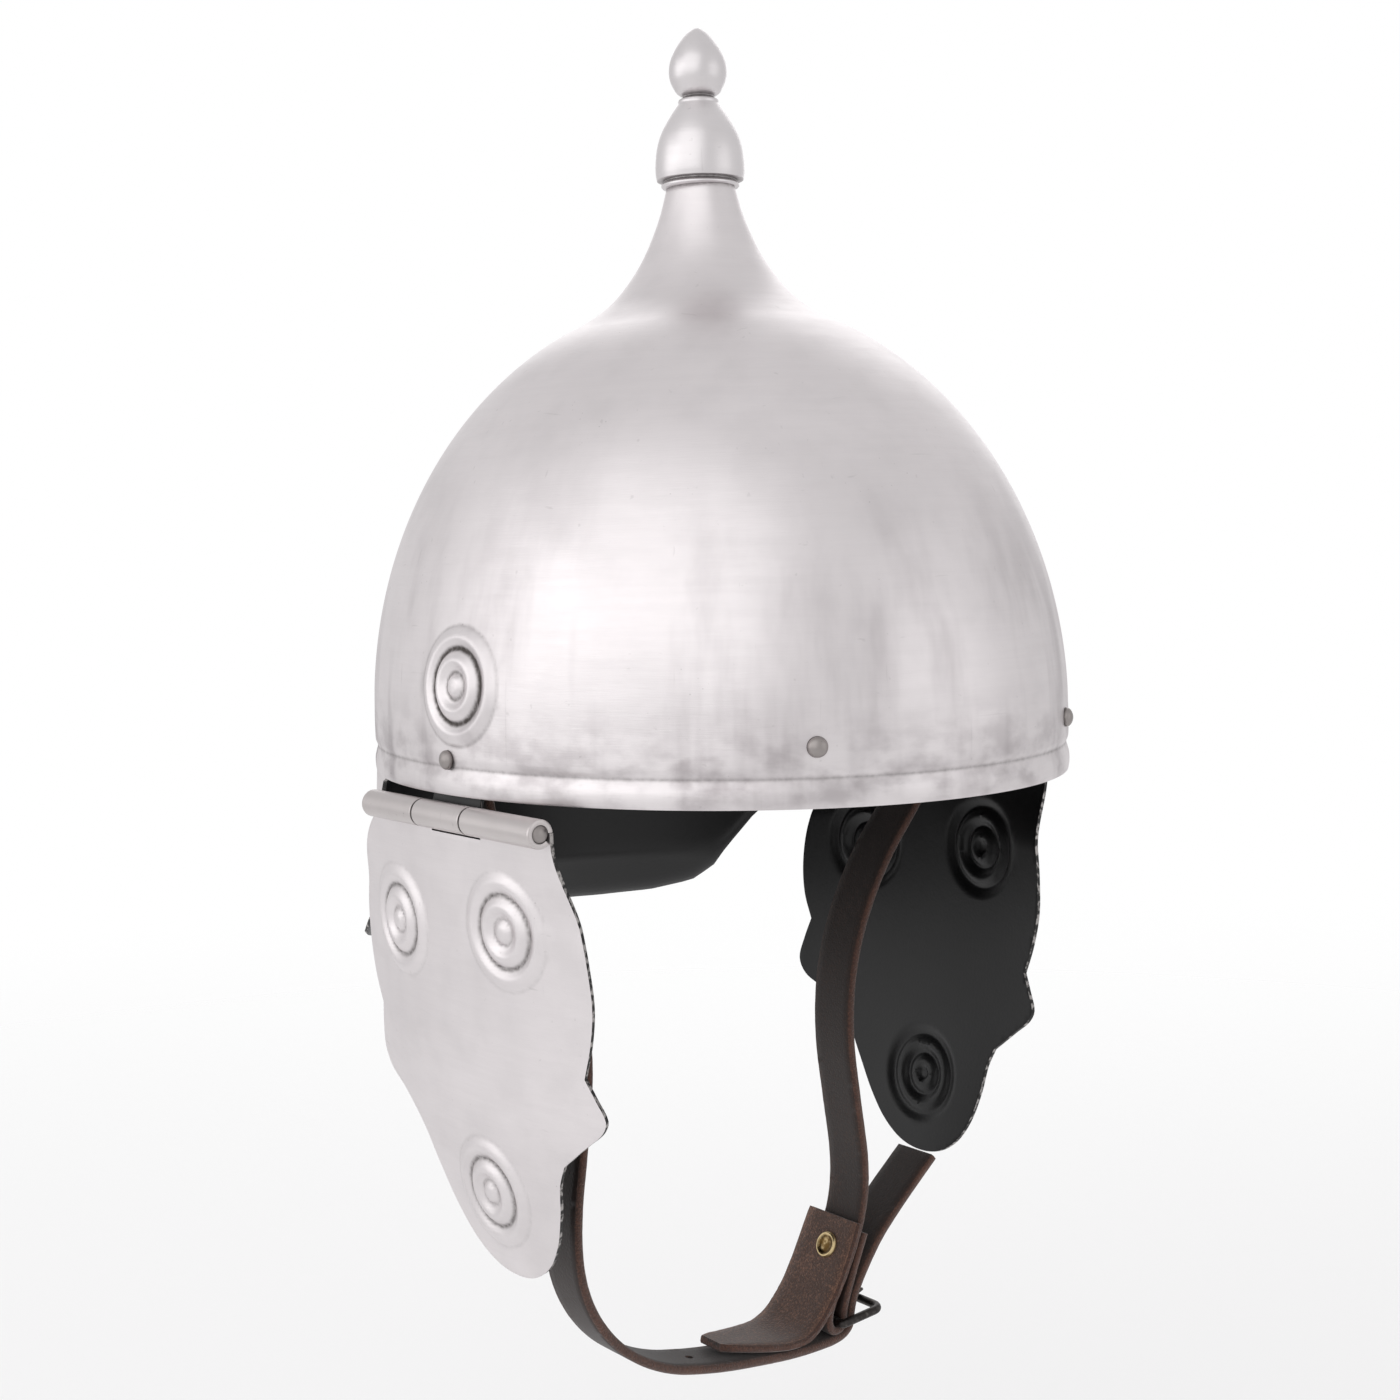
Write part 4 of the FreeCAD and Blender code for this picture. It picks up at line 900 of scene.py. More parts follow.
@dataclass
class CheekPlate:
    """Scalloped cheek plate with three bosses, rolled to knuckles along its top."""

    finishes: Finishes
    side: Side
    hinge: HingeLine
    sheet: float = 1.2 * MM
    tuck: float = 0.00074
    span_radius: float = 260.0
    centre: float = 4.4
    slot_low: float = -12.15
    curve_top: float = -9.0
    curve_over: float = 27.0
    fine_step: float = 0.95
    coarse_step: float = 2.4
    fine_along: Pair = (-45.5, 51.0)
    fine_reach: float = 19.5
    bosses: Sequence[Pair] = ((32.3, -43.2), (-26.3, -38.7), (-3.3, -124.0))
    front_edge: Sequence[Pair] = ((-54.6, -6.3), (-54.9, -15), (-55.8, -28), (-58.2, -44), (-59.0, -57),
                                  (-57.0, -68), (-53.4, -78.5))
    front_lobe: Sequence[Pair] = ((-53.4, -78.5), (-56.4, -84), (-59.4, -90.2), (-57.6, -94), (-50.5, -99.6),
                                  (-40.3, -107.6))
    chin_edge: Sequence[Pair] = ((-40.3, -107.6), (-37.2, -114), (-35.0, -124), (-31.0, -135), (-25.0, -143.5),
                                 (-16.5, -149), (-7.0, -150.6), (3.0, -149), (12.5, -143.5), (20.5, -135),
                                 (28.5, -123), (36.0, -111.5), (46.5, -102.5), (58.0, -96.5), (61.2, -91),
                                 (59.6, -83), (57.0, -75.3))
    rear_edge: Sequence[Pair] = ((57.0, -75.3), (60.6, -66), (62.0, -54), (60.4, -40), (55.0, -26.5),
                                 (46.8, -15), (37.5, -6.3))

    def outline(self) -> list[Vector]:
        """Closed outline in millimetres as (y, z), without a repeated end."""
        line: list[Vector] = []
        for stretch in (self.front_edge, self.front_lobe, self.chin_edge, self.rear_edge):
            line.extend(smooth_line(stretch, 1.6)[:-1])
        top = self.hinge.z / MM
        front, rear = self.hinge.slot_front / MM, self.hinge.slot_rear / MM
        line.append(Vector(self.rear_edge[-1]))
        notch = ((rear, top), (rear, self.slot_low), (front, self.slot_low), (front, top))
        line.extend(Vector(p) for p in notch)
        return line

    def surface_x(self, y: float, z: float) -> float:
        """Outer face of the plate at a place, all in millimetres."""
        top = (self.hinge.x - self.hinge.outer + self.sheet) / MM
        below = self.hinge.z / MM - z
        blend = min(max((self.curve_top - z) / self.curve_over, 0.0), 1.0)
        blend = blend * blend * (3 - 2 * blend)
        return top - self.tuck * below * below - blend * (y - self.centre) ** 2 / (2 * self.span_radius)

    def boss_sites(self) -> list[Site]:
        """Centres and normals of the bosses on the left plate."""
        sites = []
        for y, z in self.bosses:
            slope_y = self.surface_x(y + 0.5, z) - self.surface_x(y - 0.5, z)
            slope_z = self.surface_x(y, z + 0.5) - self.surface_x(y, z - 0.5)
            normal = Vector((1, -slope_y, -slope_z)).normalized()
            sites.append((Vector((self.surface_x(y, z), y, z)) * MM, normal))
        return sites

    def spaced(self, start: float, end: float, is_fine: Callable[[float], bool]) -> list[float]:
        """Places between two ends, close together where they are to be fine."""
        places = []
        while start < end:
            places.append(start)
            start += self.fine_step if is_fine(start) else self.coarse_step
        return places

    def near_boss(self, z: float) -> bool:
        """Whether a height lies by one of the bosses."""
        return any(abs(z - centre) < self.fine_reach for _, centre in self.bosses)

    def grid_lines(self) -> list[Site]:
        """Planes that cut the flat plate into a grid, close together where the bosses are."""
        front, rear = self.fine_along
        along = self.spaced(-60.0, 62.0, lambda y: front < y < rear)
        down = self.spaced(-149.0, -7.0, self.near_boss)
        return [(Vector((0, y, 0)), AXIS_Y) for y in along] + [(Vector((0, 0, z)), UP) for z in down]

    def sheet_mesh(self) -> BMesh:
        """Left plate's outer face with its bosses, in metres."""
        bm = bmesh.new()
        bm.faces.new([bm.verts.new((0, p.x, p.y)) for p in self.outline()])
        for point, normal in self.grid_lines():
            geometry = [*bm.verts, *bm.edges, *bm.faces]
            bmesh.ops.bisect_plane(bm, geom=geometry, plane_co=point, plane_no=normal, dist=0.02)
        for vert in bm.verts:
            _, y, z = vert.co
            vert.co = Vector((self.surface_x(y, z), y, z)) * MM
        bmesh.ops.remove_doubles(bm, verts=bm.verts, dist=0.03 * MM)
        bmesh.ops.recalc_face_normals(bm, faces=bm.faces)
        if sum(face.normal.x for face in bm.faces) < 0:
            bmesh.ops.reverse_faces(bm, faces=bm.faces)
        emboss(bm, self.boss_sites(), Boss(), 0.7)
        return bm

    def make(self) -> None:
        """Builds the plate with its knuckles."""
        word = self.side.word
        bm = self.sheet_mesh()
        mirrored(bm, self.side)
        materials = (self.finishes.plate, self.finishes.paint, self.finishes.edge, self.finishes.hinge)
        piece = Piece(f"cheek_plate_{word}_sheet", f"cheek_plate_{word}", "steel", materials,
                      (f"cheek_{word}",), 44.0)
        plate = piece.placed(bm)
        thicken(plate, self.sheet, 0.25 * MM)
        settled(plate)
        bm = bmesh.new()
        bm.from_mesh(plate.data)
        rolled = bmesh.new()
        for front, rear in ((self.hinge.front, self.hinge.slot_front), (self.hinge.slot_rear, self.hinge.rear)):
            self.hinge.add_knuckle(rolled, front, rear)
        finish_knuckles(rolled, 3, (self.hinge.slot_front, self.hinge.slot_rear))
        mirrored(rolled, self.side)
        join(bm, rolled)
        bm.to_mesh(plate.data)
        bm.free()
        piece.finished(plate)


def finish_knuckles(bm: BMesh, material: int, ends: Sequence[float]) -> None:
    """Closes rolled knuckles, rounds their ends and darkens the ends with patina and painted shade where they
    meet a neighbour.

    Args:
        bm: the knuckles alone.
        material: index of their material.
        ends: places along Y where they meet a neighbour.
    """
    bmesh.ops.remove_doubles(bm, verts=bm.verts, dist=WELD)
    bmesh.ops.recalc_face_normals(bm, faces=bm.faces)
    sharp = [e for e in bm.edges if len(e.link_faces) == 2 and e.calc_face_angle(0.0) > math.radians(55)]
    bmesh.ops.bevel(bm, geom=sharp, offset=0.38 * MM, affect="EDGES", segments=2, profile=0.5, material=-1)
    layer = bm.verts.layers.float.new("patina_and_painted_shade")
    for vert in bm.verts:
        near = min(abs(vert.co.y - end) for end in ends)
        vert[layer] = 0.9 * bell(near, 0.0, 0.3 * MM)
    for face in bm.faces:
        face.material_index = material


def join(target: BMesh, source: BMesh) -> None:
    """Copies one mesh into another and frees it."""
    mesh = mesh_from(source, "joined")
    target.from_mesh(mesh)
    bpy.data.meshes.remove(mesh)


@dataclass
class Hinge:
    """Middle knuckle with its leaf inside the rim, and the pin."""

    finishes: Finishes
    side: Side
    line: HingeLine
    thickness: float = 1.15 * MM
    face_x: float = 102.84 * MM
    top: float = 19.0 * MM
    pin_radius: float = 2.5 * MM
    pin_proud: float = 0.75 * MM

    def leaf(self) -> BMesh:
        """Left leaf: a joggled plate that runs down into the middle knuckle."""
        front, rear = self.line.slot_front + self.line.gap, self.line.slot_rear - self.line.gap
        tangent = self.line.x - self.line.outer
        step = self.face_x - self.thickness
        low = self.line.z + 2.6 * MM
        corners = [(tangent, self.line.z), (tangent + self.thickness, self.line.z),
                   (tangent + self.thickness, low), (self.face_x, -0.6 * MM), (self.face_x, self.top),
                   (step, self.top), (step, -0.9 * MM), (tangent, low - 0.3 * MM)]
        bm = bmesh.new()
        face = bm.faces.new([bm.verts.new((x, front, z)) for x, z in corners])
        made = bmesh.ops.extrude_face_region(bm, geom=[face])["geom"]
        verts = [g for g in made if isinstance(g, bmesh.types.BMVert)]
        bmesh.ops.translate(bm, vec=(0, rear - front, 0), verts=verts)
        self.line.add_knuckle(bm, front, rear)
        finish_knuckles(bm, 0, (front, rear))
        for face in bm.faces:
            middle = face.calc_center_median()
            if middle.z > -3 * MM and middle.x < self.face_x + 2 * MM:
                face.material_index = 1
        return bm

    def pin(self) -> BMesh:
        """Left pin with domed, slightly hammered ends."""
        length = (self.line.rear - self.line.front) / 2 + self.pin_proud
        ends = [(0.0, length), (0.9 * MM, length - 0.06 * MM), (1.8 * MM, length - 0.35 * MM),
                (self.pin_radius, length - 0.95 * MM)]
        profile = [Vector((r, 0, z)) for r, z in ends] + [Vector((r, 0, -z)) for r, z in reversed(ends)]
        bm = bmesh.new()
        spun(bm, profile, 40)
        layer = bm.verts.layers.float.new("patina_and_painted_shade")
        # Patina and painted shade on the pin's side and the rim of its ends, where it sits in the knuckles.
        for vert in bm.verts:
            vert[layer] = 0.5 * bell(math.hypot(vert.co.x, vert.co.y), self.pin_radius, 0.5 * MM)
        middle = Vector((self.line.x, (self.line.rear + self.line.front) / 2, self.line.z))
        bmesh.ops.transform(bm, matrix=aimed(middle, AXIS_Y), verts=bm.verts)
        return bm

    def make(self) -> None:
        """Builds leaf and pin on this side."""
        word = self.side.word
        parts = (("leaf", self.leaf(), (self.finishes.hinge, self.finishes.paint)),
                 ("pin", self.pin(), (self.finishes.fastener,)))
        for part, bm, materials in parts:
            mirrored(bm, self.side)
            Piece(f"hinge_{word}_{part}", "helmet", "hinge_steel", materials,
                  (f"hinge_{part}_{word}",), 35.0).made(bm)


# ---- rivets ------------------------------------------------------------------------------------
@dataclass
class Rivets:
    """Domed rivets round the rim and at the hinges."""

    finishes: Finishes
    bowl: Bowl
    head_radius: float = 3.0 * MM
    head_height: float = 2.35 * MM
    shank_radius: float = 2.0 * MM
    tail_radius: float = 2.7 * MM
    rim_angles: Sequence[float] = (-25.5, 25.5, 150.0, -150.0)
    rim_height: float = 17.0 * MM
    rim_grip: float = 5.2 * MM
    hinge_place: Pair = (-5.3 * MM, 10.5 * MM)

    def site(self, angle: float) -> Site:
        """Point and normal on the wall at an angle round from the front, in degrees."""
        wide, long = self.bowl.half_width, self.bowl.half_length
        turn = math.radians(angle)
        reach = 1 / math.hypot(math.sin(turn) / wide, math.cos(turn) / long)
        point = Vector((reach * math.sin(turn), -reach * math.cos(turn), self.rim_height))
        return point, Vector((point.x / wide ** 2, point.y / long ** 2, 0)).normalized()

    def hinge_site(self, side: Side) -> Site:
        """Point and normal of a hinge rivet."""
        wide, long = self.bowl.half_width, self.bowl.half_length
        y, z = self.hinge_place
        point = Vector((side.value * wide * math.sqrt(1 - (y / long) ** 2), y, z))
        return point, Vector((side.value, 0, 0))

    def add(self, bm: BMesh, point: Vector, normal: Vector, grip: float) -> None:
        """Adds one rivet with its head outside and clenched tail inside."""
        profile = [Vector((0, 0, self.head_height))]
        for i in range(1, 9):
            angle = math.radians(90 - 11.5 * i)
            wobble = 1.0 - 0.03 * math.sin(i)
            profile.append(Vector((self.head_radius * math.cos(angle) * wobble, 0,
                                   self.head_height * math.sin(angle))))
        under = ((self.head_radius, 0), (self.shank_radius, -0.05 * MM), (self.shank_radius, -grip),
                 (self.tail_radius, -grip), (2.5 * MM, -grip - 0.8 * MM), (0, -grip - 0.95 * MM))
        profile += [Vector((r, 0, z)) for r, z in under]
        one = bmesh.new()
        spun(one, profile, 36)
        layer = one.verts.layers.float.new("patina_and_painted_shade")
        # Patina and painted shade round the foot of the head, where it meets the sheet.
        for vert in one.verts:
            vert[layer] = 0.8 * bell(vert.co.z, 0.0, 0.5 * MM)
        bmesh.ops.transform(one, matrix=aimed(point, normal), verts=one.verts)
        join(bm, one)

    def make(self) -> None:
        """Builds both sets of rivets."""
        steel = (self.finishes.fastener,)
        rim = bmesh.new()
        for angle in self.rim_angles:
            self.add(rim, *self.site(angle), self.rim_grip)
        Piece("rivets_rim", "helmet", "bright_steel", steel, ("rim_rivets",), 40.0).made(rim)
        sides = bmesh.new()
        past_strap = 4.0 * MM
        for side in Side:
            point, normal = self.hinge_site(side)
            depth = abs(point.x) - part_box("chin_strap_left")[1].x + past_strap
            self.add(sides, point, normal, depth)
        Piece("rivets_hinge", "helmet", "bright_steel", steel, ("hinge_rivets",), 40.0).made(sides)


# ---- liner -------------------------------------------------------------------------------------
@dataclass
class Liner:
    """Leather band with eight tongues drawn together by a lace in their hems."""

    finishes: Finishes
    half_width: float = 0.0
    half_length: float = 0.0
    thickness: float = 1.6 * MM
    low: float = 3.0 * MM
    dome_base: float = 20.0 * MM
    dome_height: float = 112.0 * MM
    tip: float = 119.0 * MM
    slit_low: float = 46.0 * MM
    slit: float = 4.0 * MM
    tongues: int = 8
    rows: int = 44
    columns: int = 18
    hem_radius: float = 1.9 * MM
    hem_inset: float = 2.4 * MM
    lace_radius: float = 0.85 * MM
    lace_points: int = 96

    def __post_init__(self) -> None:
        """Takes the oval from the frame."""
        low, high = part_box("liner")
        self.half_width = (high.x - low.x) / 2
        self.half_length = (high.y - low.y) / 2

    def radius(self, z: float) -> float:
        """Mean radius of the liner's outer face at a height."""
        share = max(z - self.dome_base, 0.0) / self.dome_height
        return (self.half_width + self.half_length) / 2 * math.sqrt(1 - share * share)

    def tongue(self, bm: BMesh, index: int) -> None:
        """Adds one eighth of the band with its tongue and rolled hem."""
        sector = math.tau / self.tongues
        middle = sector * (index + 0.5) + math.radians(22.5)
        heights = [self.low + (self.tip - self.low) * i / self.rows for i in range(self.rows + 1)]
        profile = [Vector((self.radius(z), 0, z)) for z in heights]
        end = profile[-1]
        for i in range(1, 9):
            turn = math.radians(150 + 34 * i)
            profile.append(Vector((end.x - self.hem_inset + self.hem_radius * math.cos(turn), 0,
                                   end.z - 1.2 * MM - self.hem_radius * math.sin(turn))))
        part = bmesh.new()
        geometry = edge_chain(part, profile)
        bmesh.ops.rotate(part, verts=part.verts, cent=(0, 0, 0),
                         matrix=Matrix.Rotation(middle - sector / 2, 3, "Z"))
        bmesh.ops.spin(part, geom=geometry, cent=(0, 0, 0), axis=UP, angle=sector, steps=self.columns,
                       use_duplicate=False)
        edge = part.verts.layers.float.new("edge")
        for vert in part.verts:
            angle = math.atan2(vert.co.y, vert.co.x)
            away = (angle - middle + math.pi) % math.tau - math.pi
            radius = math.hypot(vert.co.x, vert.co.y)
            open_share = min(max((vert.co.z - self.slit_low) / (6 * MM), 0.0), 1.0)
            inset = self.slit / 2 / radius * math.sqrt(open_share)
            away *= 1 - inset / (sector / 2)
            gather = 1 + 0.012 * open_share * math.cos(away / sector * math.tau * 1.5) * (vert.co.z / self.tip)
            vert.co.x = radius * gather * math.cos(middle + away)
            vert.co.y = radius * gather * math.sin(middle + away)
            vert[edge] = max(0.0, abs(away) / (sector / 2) - 0.86) * 6 * open_share
        join(bm, part)

    def make(self) -> None:
        """Builds the liner and its lace."""
        bm = bmesh.new()
        for index in range(self.tongues):
            self.tongue(bm, index)
        bmesh.ops.remove_doubles(bm, verts=bm.verts, dist=WELD)
        mean = (self.half_width + self.half_length) / 2
        bmesh.ops.scale(bm, vec=(self.half_width / mean, self.half_length / mean, 1), verts=bm.verts)
        for vert in bm.verts:
            crease = noise.noise(vert.co * 22.0) * 0.5 * MM
            vert.co.x -= math.copysign(abs(crease), vert.co.x)
        bmesh.ops.recalc_face_normals(bm, faces=bm.faces)
        if sum(f.normal.x * f.calc_center_median().x for f in bm.faces) < 0:
            bmesh.ops.reverse_faces(bm, faces=bm.faces)
        piece = Piece("liner_band", "helmet", "liner_leather", (self.finishes.liner,), ("liner",), 50.0)
        made = piece.placed(bm)
        wall = made.modifiers.new("wall", "SOLIDIFY")
        wall.thickness = self.thickness
        wall.offset = -1.0
        piece.finished(made)
        self.lace(mean)

    def lace(self, mean: float) -> None:
        """Lace through the hems, a little uneven, as its own tube."""
        ring = self.radius(self.tip) - self.hem_inset
        level = self.tip - 1.1 * MM
        points = []
        for i in range(self.lace_points):
            angle = math.tau * i / self.lace_points
            wave = 1 + 0.004 * math.sin(self.tongues * angle)
            points.append(Vector((ring * wave * math.cos(angle) * self.half_width / mean,
                                  ring * wave * math.sin(angle) * self.half_length / mean, level)))
        bm = tube(points, self.lace_radius, True)
        Piece("liner_lace", "helmet", "thong_leather", (self.finishes.lace,), ("liner_thong",), 60.0).made(bm)


def tube(points: Sequence[Vector], radius: float, closed: bool, taper: Sequence[float] = ()) -> BMesh:
    """Round bar along a line.

    Args:
        points: the line.
        radius: half the bar's thickness.
        closed: whether the line joins up.
        taper: factors of the radius, point by point.

    Returns:
        The bar's mesh.
    """
    curve = bpy.data.curves.new("bar", "CURVE")
    curve.dimensions = "3D"
    curve.bevel_depth = radius
    curve.bevel_resolution = 6
    curve.use_fill_caps = True
    spline = curve.splines.new("POLY")
    spline.points.add(len(points) - 1)
    for i, point in enumerate(points):
        spline.points[i].co = (*point, 1.0)
        spline.points[i].radius = taper[i] if taper else 1.0
    spline.use_cyclic_u = closed
    holder = linked("bar", curve)
    bpy.context.view_layer.update()
    mesh = bpy.data.meshes.new_from_object(holder.evaluated_get(bpy.context.evaluated_depsgraph_get()))
    bm = bmesh.new()
    bm.from_mesh(mesh)
    bmesh.ops.remove_doubles(bm, verts=bm.verts, dist=WELD)
    bmesh.ops.recalc_face_normals(bm, faces=bm.faces)
    bpy.data.objects.remove(holder)
    bpy.data.curves.remove(curve)
    bpy.data.meshes.remove(mesh)
    return bm


# ---- straps ------------------------------------------------------------------------------------
@dataclass
class Ribbon:
    """Leather strip bent along a route in the XZ plane, with a rounded section and rough cut edges."""

    route: Sequence[Pair]
    thickness: float
    centre_y: float
    width_at: Callable[[float, float], float]
    per_corner: int = 14
    roughness: float = 0.16 * MM
    grain_side: int = 1
    corner_across: float = 0.035
    corner_deep: float = 0.24

    def frames(self) -> list[Matrix]:
        """Placement of the section at each step: across on X, thickness on Y, along on Z."""
        line = [p * MM for p in bent_line([Vector(p) for p in self.route], self.per_corner)]
        total = len(line) - 1
        frames = []
        for i, point in enumerate(line):
            ahead, behind = line[min(i + 1, total)], line[max(i - 1, 0)]
            along = Vector((ahead.x - behind.x, 0, ahead.y - behind.y)).normalized()
            thick = Vector((-along.z, 0, along.x))
            width = self.width_at(point.x / MM, i / total)
            frames.append(Matrix((
                (0.0, thick.x * self.thickness, along.x, point.x),
                (width, thick.y * self.thickness, along.y, self.centre_y),
                (0.0, thick.z * self.thickness, along.z, point.y),
                (0.0, 0.0, 0.0, 1.0))))
        return frames

    def section(self, bm: BMesh) -> bmesh.types.BMFace:
        """Unit section with rounded corners, split across its width."""
        half = 0.5
        cut = half - self.corner_across
        side = half - self.corner_deep
        inner = (-0.3, -0.1, 0.1, 0.3)
        outline = [(-cut, -half), *((x, -half) for x in inner), (cut, -half)]
        outline += [(half, -side), (half, 0.0), (half, side)]
        outline += [(cut, half), *((x, half) for x in reversed(inner)), (-cut, half)]
        outline += [(-half, side), (-half, 0.0), (-half, -side)]
        return bm.faces.new([bm.verts.new((a, b, 0)) for a, b in outline])

    def mesh(self) -> BMesh:
        """Sweeps the section along the route."""
        bm = bmesh.new()
        edge = bm.verts.layers.float.new("edge")
        frames = self.frames()
        cap = self.section(bm)
        bmesh.ops.transform(bm, matrix=frames[0], verts=cap.verts)
        for before, after in zip(frames, frames[1:]):
            made = bmesh.ops.extrude_face_region(bm, geom=[cap])["geom"]
            verts = [g for g in made if isinstance(g, bmesh.types.BMVert)]
            bmesh.ops.transform(bm, matrix=after @ before.inverted(), verts=verts)
            old = cap
            cap = next(g for g in made if isinstance(g, bmesh.types.BMFace))
            if old is not cap and old.is_valid and before is not frames[0]:
                bm.faces.remove(old)
        bmesh.ops.recalc_face_normals(bm, faces=bm.faces)
        self.dress(bm, edge, frames)
        return bm

    def dress(self, bm: BMesh, edge: object, frames: Sequence[Matrix]) -> None:
        """Sorts faces by material and roughens the cut edges.

        Args:
            bm: the strip.
            edge: attribute layer that marks places near a cut edge.
            frames: the section's placements.
        """
        inverse = [m.inverted() for m in frames]
        centres = [m.translation for m in frames]
        ring = {}
        for vert in bm.verts:
            index = min(range(len(centres)), key=lambda i: (centres[i].x - vert.co.x) ** 2
                        + (centres[i].z - vert.co.z) ** 2)
            ring[vert] = inverse[index] @ vert.co
            vert[edge] = max(0.0, abs(ring[vert].x) * 2 - 0.72) / 0.28
        for face in bm.faces:
            side = sum(ring[v].y for v in face.verts) / len(face.verts)
            out = min(abs(ring[v].x) for v in face.verts)
            on_edge = out > 0.46 or len(face.verts) > 4
            face.material_index = 2 if on_edge else (0 if side * self.grain_side > 0 else 1)
        for vert in bm.verts:
            local = ring[vert]
            if abs(local.x) > 0.4:
                rough = noise.noise(vert.co * 520.0) + 0.6 * noise.noise(vert.co * 140.0)
                vert.co.y += math.copysign(self.roughness * rough, local.x)


def cut_away(piece: Object, cutter: BMesh) -> None:
    """Cuts holes out of a piece and leaves their walls with its third material.

    Args:
        piece: what is cut.
        cutter: closed mesh of what is taken away.
    """
    for face in cutter.faces:
        face.material_index = 2
    bmesh.ops.recalc_face_normals(cutter, faces=cutter.faces)
    mesh = mesh_from(cutter, "cutter")
    for material in piece.data.materials:
        mesh.materials.append(material)
    tool = linked("cutter", mesh)
    modifier = piece.modifiers.new("holes", "BOOLEAN")
    modifier.operation = "DIFFERENCE"
    modifier.solver = "EXACT"
    modifier.object = tool
    settled(piece)
    bpy.data.objects.remove(tool)


def add_drill(bm: BMesh, start: Vector, end: Vector, radius: float) -> None:
    """Adds a round cutter between two points."""
    run = end - start
    matrix = aimed((start + end) / 2, run.normalized())
    bmesh.ops.create_cone(bm, cap_ends=True, segments=24, radius1=radius, radius2=radius, depth=run.length,
                          matrix=matrix)


def add_block(bm: BMesh, middle: Sequence[float], size: Sequence[float]) -> None:
    """Adds a square cutter, given in millimetres."""
    matrix = Matrix.Translation(Vector(middle) * MM) @ Matrix.Diagonal((*(s * MM for s in size), 1))
    bmesh.ops.create_cube(bm, size=1.0, matrix=matrix)


@dataclass
class Straps:
    """Chin straps, guard and brass rivet."""

    finishes: Finishes
    width: float = 18.0 * MM
    thickness: float = 3.0 * MM
    centre_y: float = -3.5 * MM
    heel: Pair = (40.5, -200.5)
    fold: float = 3.3
    pitch: float = 3.3
    upper: Pair = (54.5, -164.8)
    elbow: Pair = (45.5, -184.0)
    holes: Sequence[float] = (-19.0, 6.0, 30.0)
    hole_radius: float = 1.5 * MM
    hole_span: Pair = (-215, -190)
    guard_thickness: float = 2.6
    seat: float = 0.3
    rivet_up: float = 6.6

    def __post_init__(self) -> None:
        """Finds the straps' top from the frame."""
        self.top = (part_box("chin_strap_left")[1].x - self.thickness / 2) / MM
        self.top_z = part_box("chin_strap_left")[1].z / MM
        self.run = (Vector(self.upper) - Vector(self.elbow)).normalized()
        centre = Vector(self.elbow) + self.run * self.rivet_up
        self.cap_centre = Vector((centre.x * MM, self.centre_y, centre.y * MM))
        self.inward = Vector((-self.run.y, 0, self.run.x))

    def right_route(self) -> list[Pair]:
        """Long strap: down the right side, under the chin, through the buckle and on as the tail."""
        wrap = self.fold + self.pitch
        x, z = self.heel
        route = [(-self.top, self.top_z), (-self.top, -4), (-88, -22), (-68, -52), (-61.5, -84), (-64.5, -112),
                 (-69, -140), (-67, -163), (-55, -182.5), (-36, -195.5), (-14, -201.5), (8, -205)]
        route += [(x - 15, z - wrap), (x + wrap, z - wrap), (x + wrap + 0.6, z + 4.5), (54.5, -184.5),
                  (66, -170.5), (89.5, -152.6)]
        return route

    def left_route(self) -> list[Pair]:
        """Short strap: down the left side, round the buckle's heel bar and back up beside itself."""
        x, z = self.heel
        beside = Vector((self.run.y, -self.run.x)) * self.pitch
        turn = Vector(self.elbow) + beside
        end = turn + self.run * 14.5
        route = [(self.top, self.top_z), (self.top, -4), (86, -20), (66, -42), (52, -70), (48.5, -98),
                 (52.5, -126), (56, -148), self.upper, self.elbow]
        route += [(x - self.fold, z + 5.0), (x - self.fold, z - self.fold), (x + self.fold, z - self.fold),
                  (x + self.fold, z + 3.0), (turn.x, turn.y), (end.x, end.y)]
        return route

    def steady(self, _x: float, _share: float) -> float:
        """Width of a strap, the same all along."""
        return self.width

    def strap(self, name: str, route: Sequence[Pair], node: str, drills: BMesh, grain_side: int) -> None:
        """Builds one strap and cuts its holes."""
        ribbon = Ribbon(route, self.thickness, self.centre_y, self.steady, grain_side=grain_side)
        materials = (self.finishes.grain, self.finishes.flesh, self.finishes.cut)
        piece = Piece(name, "helmet", "strap_leather", materials, (node,), 50.0)
        made = piece.placed(ribbon.mesh())
        cut_away(made, drills)
        piece.finished(made)

    def make_straps(self) -> None:
        """Builds both straps."""
        x, z = self.heel
        y = self.centre_y / MM
        low, high = self.hole_span
        drills = bmesh.new()
        for place in self.holes:
            add_drill(drills, Vector((place, y, low)) * MM, Vector((place, y, high)) * MM, self.hole_radius)
        add_block(drills, (x + 6.6, y, z + 1.2), (8, 3.6, 7.6))
        self.strap("chin_strap_long", self.right_route(), "chin_strap_right", drills, -1)
        drills = bmesh.new()
        add_block(drills, (x, y, z - 1.5), (15, 5.4, 11.0))
        self.strap("chin_strap_short", self.left_route(), "chin_strap_left", drills, 1)

    def guard_route(self) -> list[Pair]:
        """Guard: inside the short strap, then along over the long one."""
        pitch = (self.thickness / MM + self.guard_thickness) / 2 + self.seat
        x, z = self.heel
        centre = self.cap_centre / MM
        inward = Vector((self.inward.x, self.inward.z))
        top = Vector((centre.x, centre.z)) + inward * pitch + self.run * 10.5
        below = (Vector((x - self.fold, z + 5.0)) - Vector(self.elbow)).normalized()
        side = (inward + Vector((below.y, -below.x))).normalized()
        elbow = Vector(self.elbow) + side * (pitch + 0.1)
        return [tuple(top), tuple(elbow), (x - self.fold - pitch, z + 5.5), (24, -203.0), (8, -201.2),
                (-8.5, -197.3)]

    def guard_width(self, x: float, share: float) -> float:
        """Width of the guard at a place: full behind the buckle, narrowing to a rounded tip."""
        width = blend_between(((-8.5, 10.5), (-5.0, 14.0), (4.0, 19.0), (14.0, 23.8), (24.0, 27.0)), x)
        return (width - 1.5 * math.exp(-share * 30)) * MM

